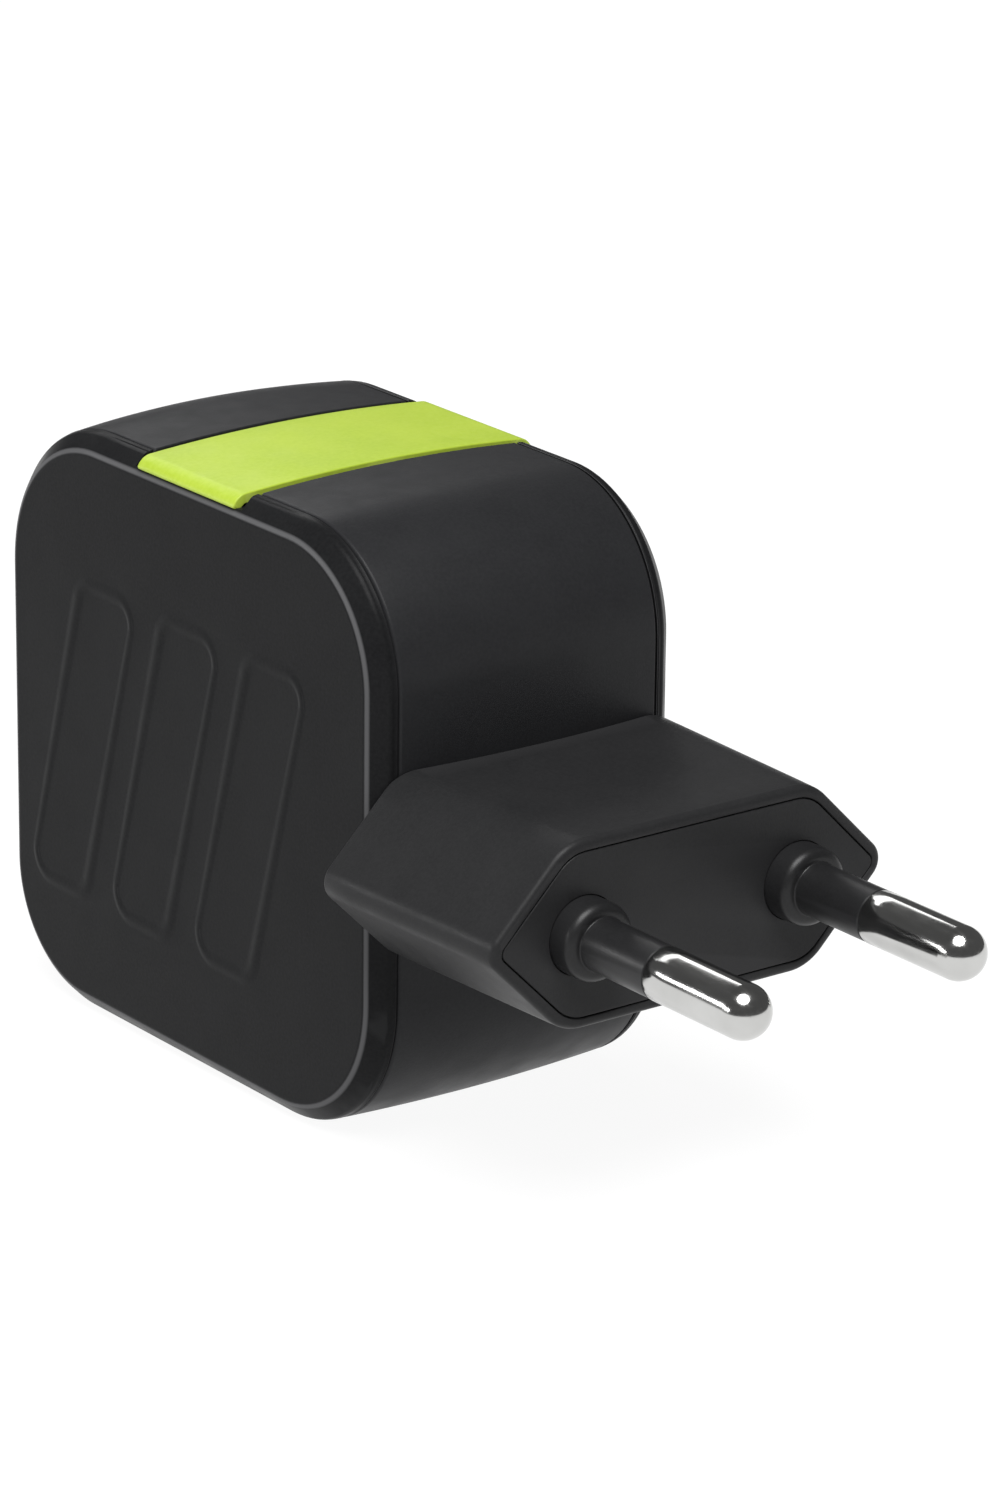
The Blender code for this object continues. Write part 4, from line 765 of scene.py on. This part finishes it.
def make_tongue(material, contact):
    """The contact tongue with its two rows of plated contacts."""
    half_x, half_z = TONGUE_HIGH.x, (TONGUE_HIGH.z - TONGUE_LOW.z) / 2
    thin, tall = 0.35 * MM, 3.25 * MM
    root = TONGUE_HIGH.y - 4.6 * MM
    bend = 0.12 * MM
    rings = [(stadium(half_x, half_z), TONGUE_LOW.y), (stadium(half_x, half_z), root),
             (stadium(thin, tall, 0.12 * MM), root), (stadium(thin, tall, 0.12 * MM), TONGUE_HIGH.y - bend)]
    rings += [(stadium(thin - bend * (1 - cos(angle)), tall - bend * (1 - cos(angle)), 0.12 * MM),
               TONGUE_HIGH.y - bend * (1 - sin(angle))) for angle in quarter(3)[1:]]
    tongue = loft("port_contact_tongue", [ring_y(o, y, z=PORT_Z) for o, y in rings], material)
    tongue.data.materials.append(contact)
    strips = []
    for side in (-1, 1):
        for i in range(CONTACTS):
            z = PORT_Z + (i - (CONTACTS - 1) / 2) * CONTACT_PITCH
            x = side * thin
            low = (min(x - side * 0.05 * MM, x + side * 0.02 * MM), root + 0.2 * MM, z - 0.13 * MM)
            high = (max(x - side * 0.05 * MM, x + side * 0.02 * MM), TONGUE_HIGH.y - 0.5 * MM, z + 0.13 * MM)
            strips.append(box(f"contact_{side}_{i}", low, high, contact))
    return combine(tongue, strips, "UNION")


# ---- Light, floor and camera -------------------------------------------------------------------

LIT_POINT = Vector((0.0, 0.0, 0.02))    # metres; the lights face it
FLOOR_HALF_SIZE = 6.0                   # metres
FLOOR_DROP = 0.02 * MM                  # keeps the floor clear of the case
FLOOR_GLOW = 0.93
WORLD_STRENGTH = 0.10
CAMERA_PLACE = (-0.2573, -0.34283, 0.1756)
CAMERA_TURN = (radians(37.044), radians(19.039), radians(0.638))  # azimuth, elevation and roll
SENSOR_WIDTH = 36.0                     # millimetres, as the lens
LENS = 150.14
CLIP_RANGE = (0.01, 20.0)


def add_floor():
    """A plain pale floor just under the charger."""
    bm = bmesh.new()
    bmesh.ops.create_grid(bm, x_segments=8, y_segments=8, size=FLOOR_HALF_SIZE)
    finish = Finish("floor_paint", 0.9, specular=0.0)
    drift = finish.remap(finish.noise(0.4, 2.0), 0.0, 1.0)
    finish.colour(finish.mix(drift, (0.11, 0.11, 0.11), (0.13, 0.13, 0.13)))
    finish.shader.inputs["Emission Color"].default_value = (1.0, 1.0, 1.0, 1.0)
    finish.shader.inputs["Emission Strength"].default_value = FLOOR_GLOW
    floor = finish_mesh("studio_floor", bm, finish.material)
    floor.location.z = -FLOOR_DROP


def add_area(name, direction, distance, size, energy, shape="RECTANGLE"):
    """A soft light some way off in a direction, turned towards the charger."""
    light = bpy.data.lights.new(name, "AREA")
    light.shape = shape
    light.size, light.size_y = size
    light.energy = energy
    lamp = bpy.data.objects.new(name, light)
    lamp.location = LIT_POINT + Vector(direction).normalized() * distance
    lamp.rotation_euler = (LIT_POINT - lamp.location).to_track_quat("-Z", "Y").to_euler()
    bpy.context.scene.collection.objects.link(lamp)


def add_lights():
    """A round key light above, a panel behind, a strip on the left and dim surroundings."""
    add_area("key_light", (-0.24, -0.32, 0.92), 0.90, (0.66, 0.66), 12.0, "DISK")
    add_area("rear_panel", (0.20, 0.82, 0.53), 0.90, (0.60, 0.22), 1.2)
    add_area("left_strip", (-0.87, 0.50, 0.24), 0.80, (0.74, 0.08), 2.4)
    world = bpy.data.worlds.new("studio")
    world.use_nodes = True
    background = world.node_tree.nodes["Background"]
    background.inputs["Color"].default_value = (1.0, 1.0, 1.0, 1.0)
    background.inputs["Strength"].default_value = WORLD_STRENGTH
    bpy.context.scene.world = world
    bpy.context.scene.view_settings.view_transform = "Standard"
    bpy.context.scene.view_settings.look = "None"


def add_camera():
    """A long lens from the plug's left and a little above."""
    azimuth, elevation, roll = CAMERA_TURN
    forward = Vector((sin(azimuth) * cos(elevation), cos(azimuth) * cos(elevation), -sin(elevation)))
    level = forward.cross(Vector((0.0, 0.0, 1.0))).normalized()
    upright = level.cross(forward)
    right = level * cos(roll) + upright * sin(roll)
    up = upright * cos(roll) - level * sin(roll)
    data = bpy.data.cameras.new("camera")
    data.sensor_width = SENSOR_WIDTH
    data.lens = LENS
    data.clip_start, data.clip_end = CLIP_RANGE
    camera = bpy.data.objects.new("camera", data)
    rotation = Matrix((right, up, -forward)).transposed()
    camera.matrix_world = Matrix.Translation(CAMERA_PLACE) @ rotation.to_4x4()
    bpy.context.scene.collection.objects.link(camera)
    bpy.context.scene.camera = camera


# ---- Assembly ----------------------------------------------------------------------------------

def paint_nodes(finishes):
    """Gives every CAD node that stays its finish."""
    slots = {part["node"]: part["material_slot"] for part in frame["record"]["subparts"]}
    for name, node in frame["nodes"].items():
        node.data.materials.clear()
        node.data.materials.append(finishes[slots[name]])


def make_pieces(finishes):
    """Every outer piece in its fine form."""
    cover = finishes["cover_plastic_painted_shade"]
    plug = finishes["plug_plastic"]
    place(make_wrap(finishes["case_plastic"]), "case_plastic", "case_wrap")
    place(make_cover("left_cover_panel", -1, cover), "case_plastic", "left_side_cover")
    place(make_cover("right_cover_panel", 1, cover), "case_plastic", "right_side_cover")
    place(make_inlay(finishes["inlay_plastic"]), "inlay_plastic", "top_inlay")
    place(make_block(plug), "plug_plastic", "plug_block")
    place(make_plate(plug), "plug_plastic", "plug_face_plate")
    for name, side in (("left", -1), ("right", 1)):
        place(make_pin(f"{name}_contact_pin", side, finishes["pin_metal"]), "pin_metal", f"{name}_pin")
        place(make_sleeve(f"{name}_insulating_sleeve", side, finishes["sleeve_plastic"]),
              "sleeve_plastic", f"{name}_pin_sleeve")
    place(make_bezel(finishes["bezel_plastic"]), "bezel_plastic", "port_bezel")
    place(make_shell(finishes["port_steel"]), "port_steel", "port_shell")
    place(make_tongue(finishes["tongue_plastic"], finishes["lead_copper"]), "tongue_plastic", "port_tongue")


finishes = make_finishes()
paint_nodes(finishes)
make_pieces(finishes)
add_floor()
add_lights()
add_camera()
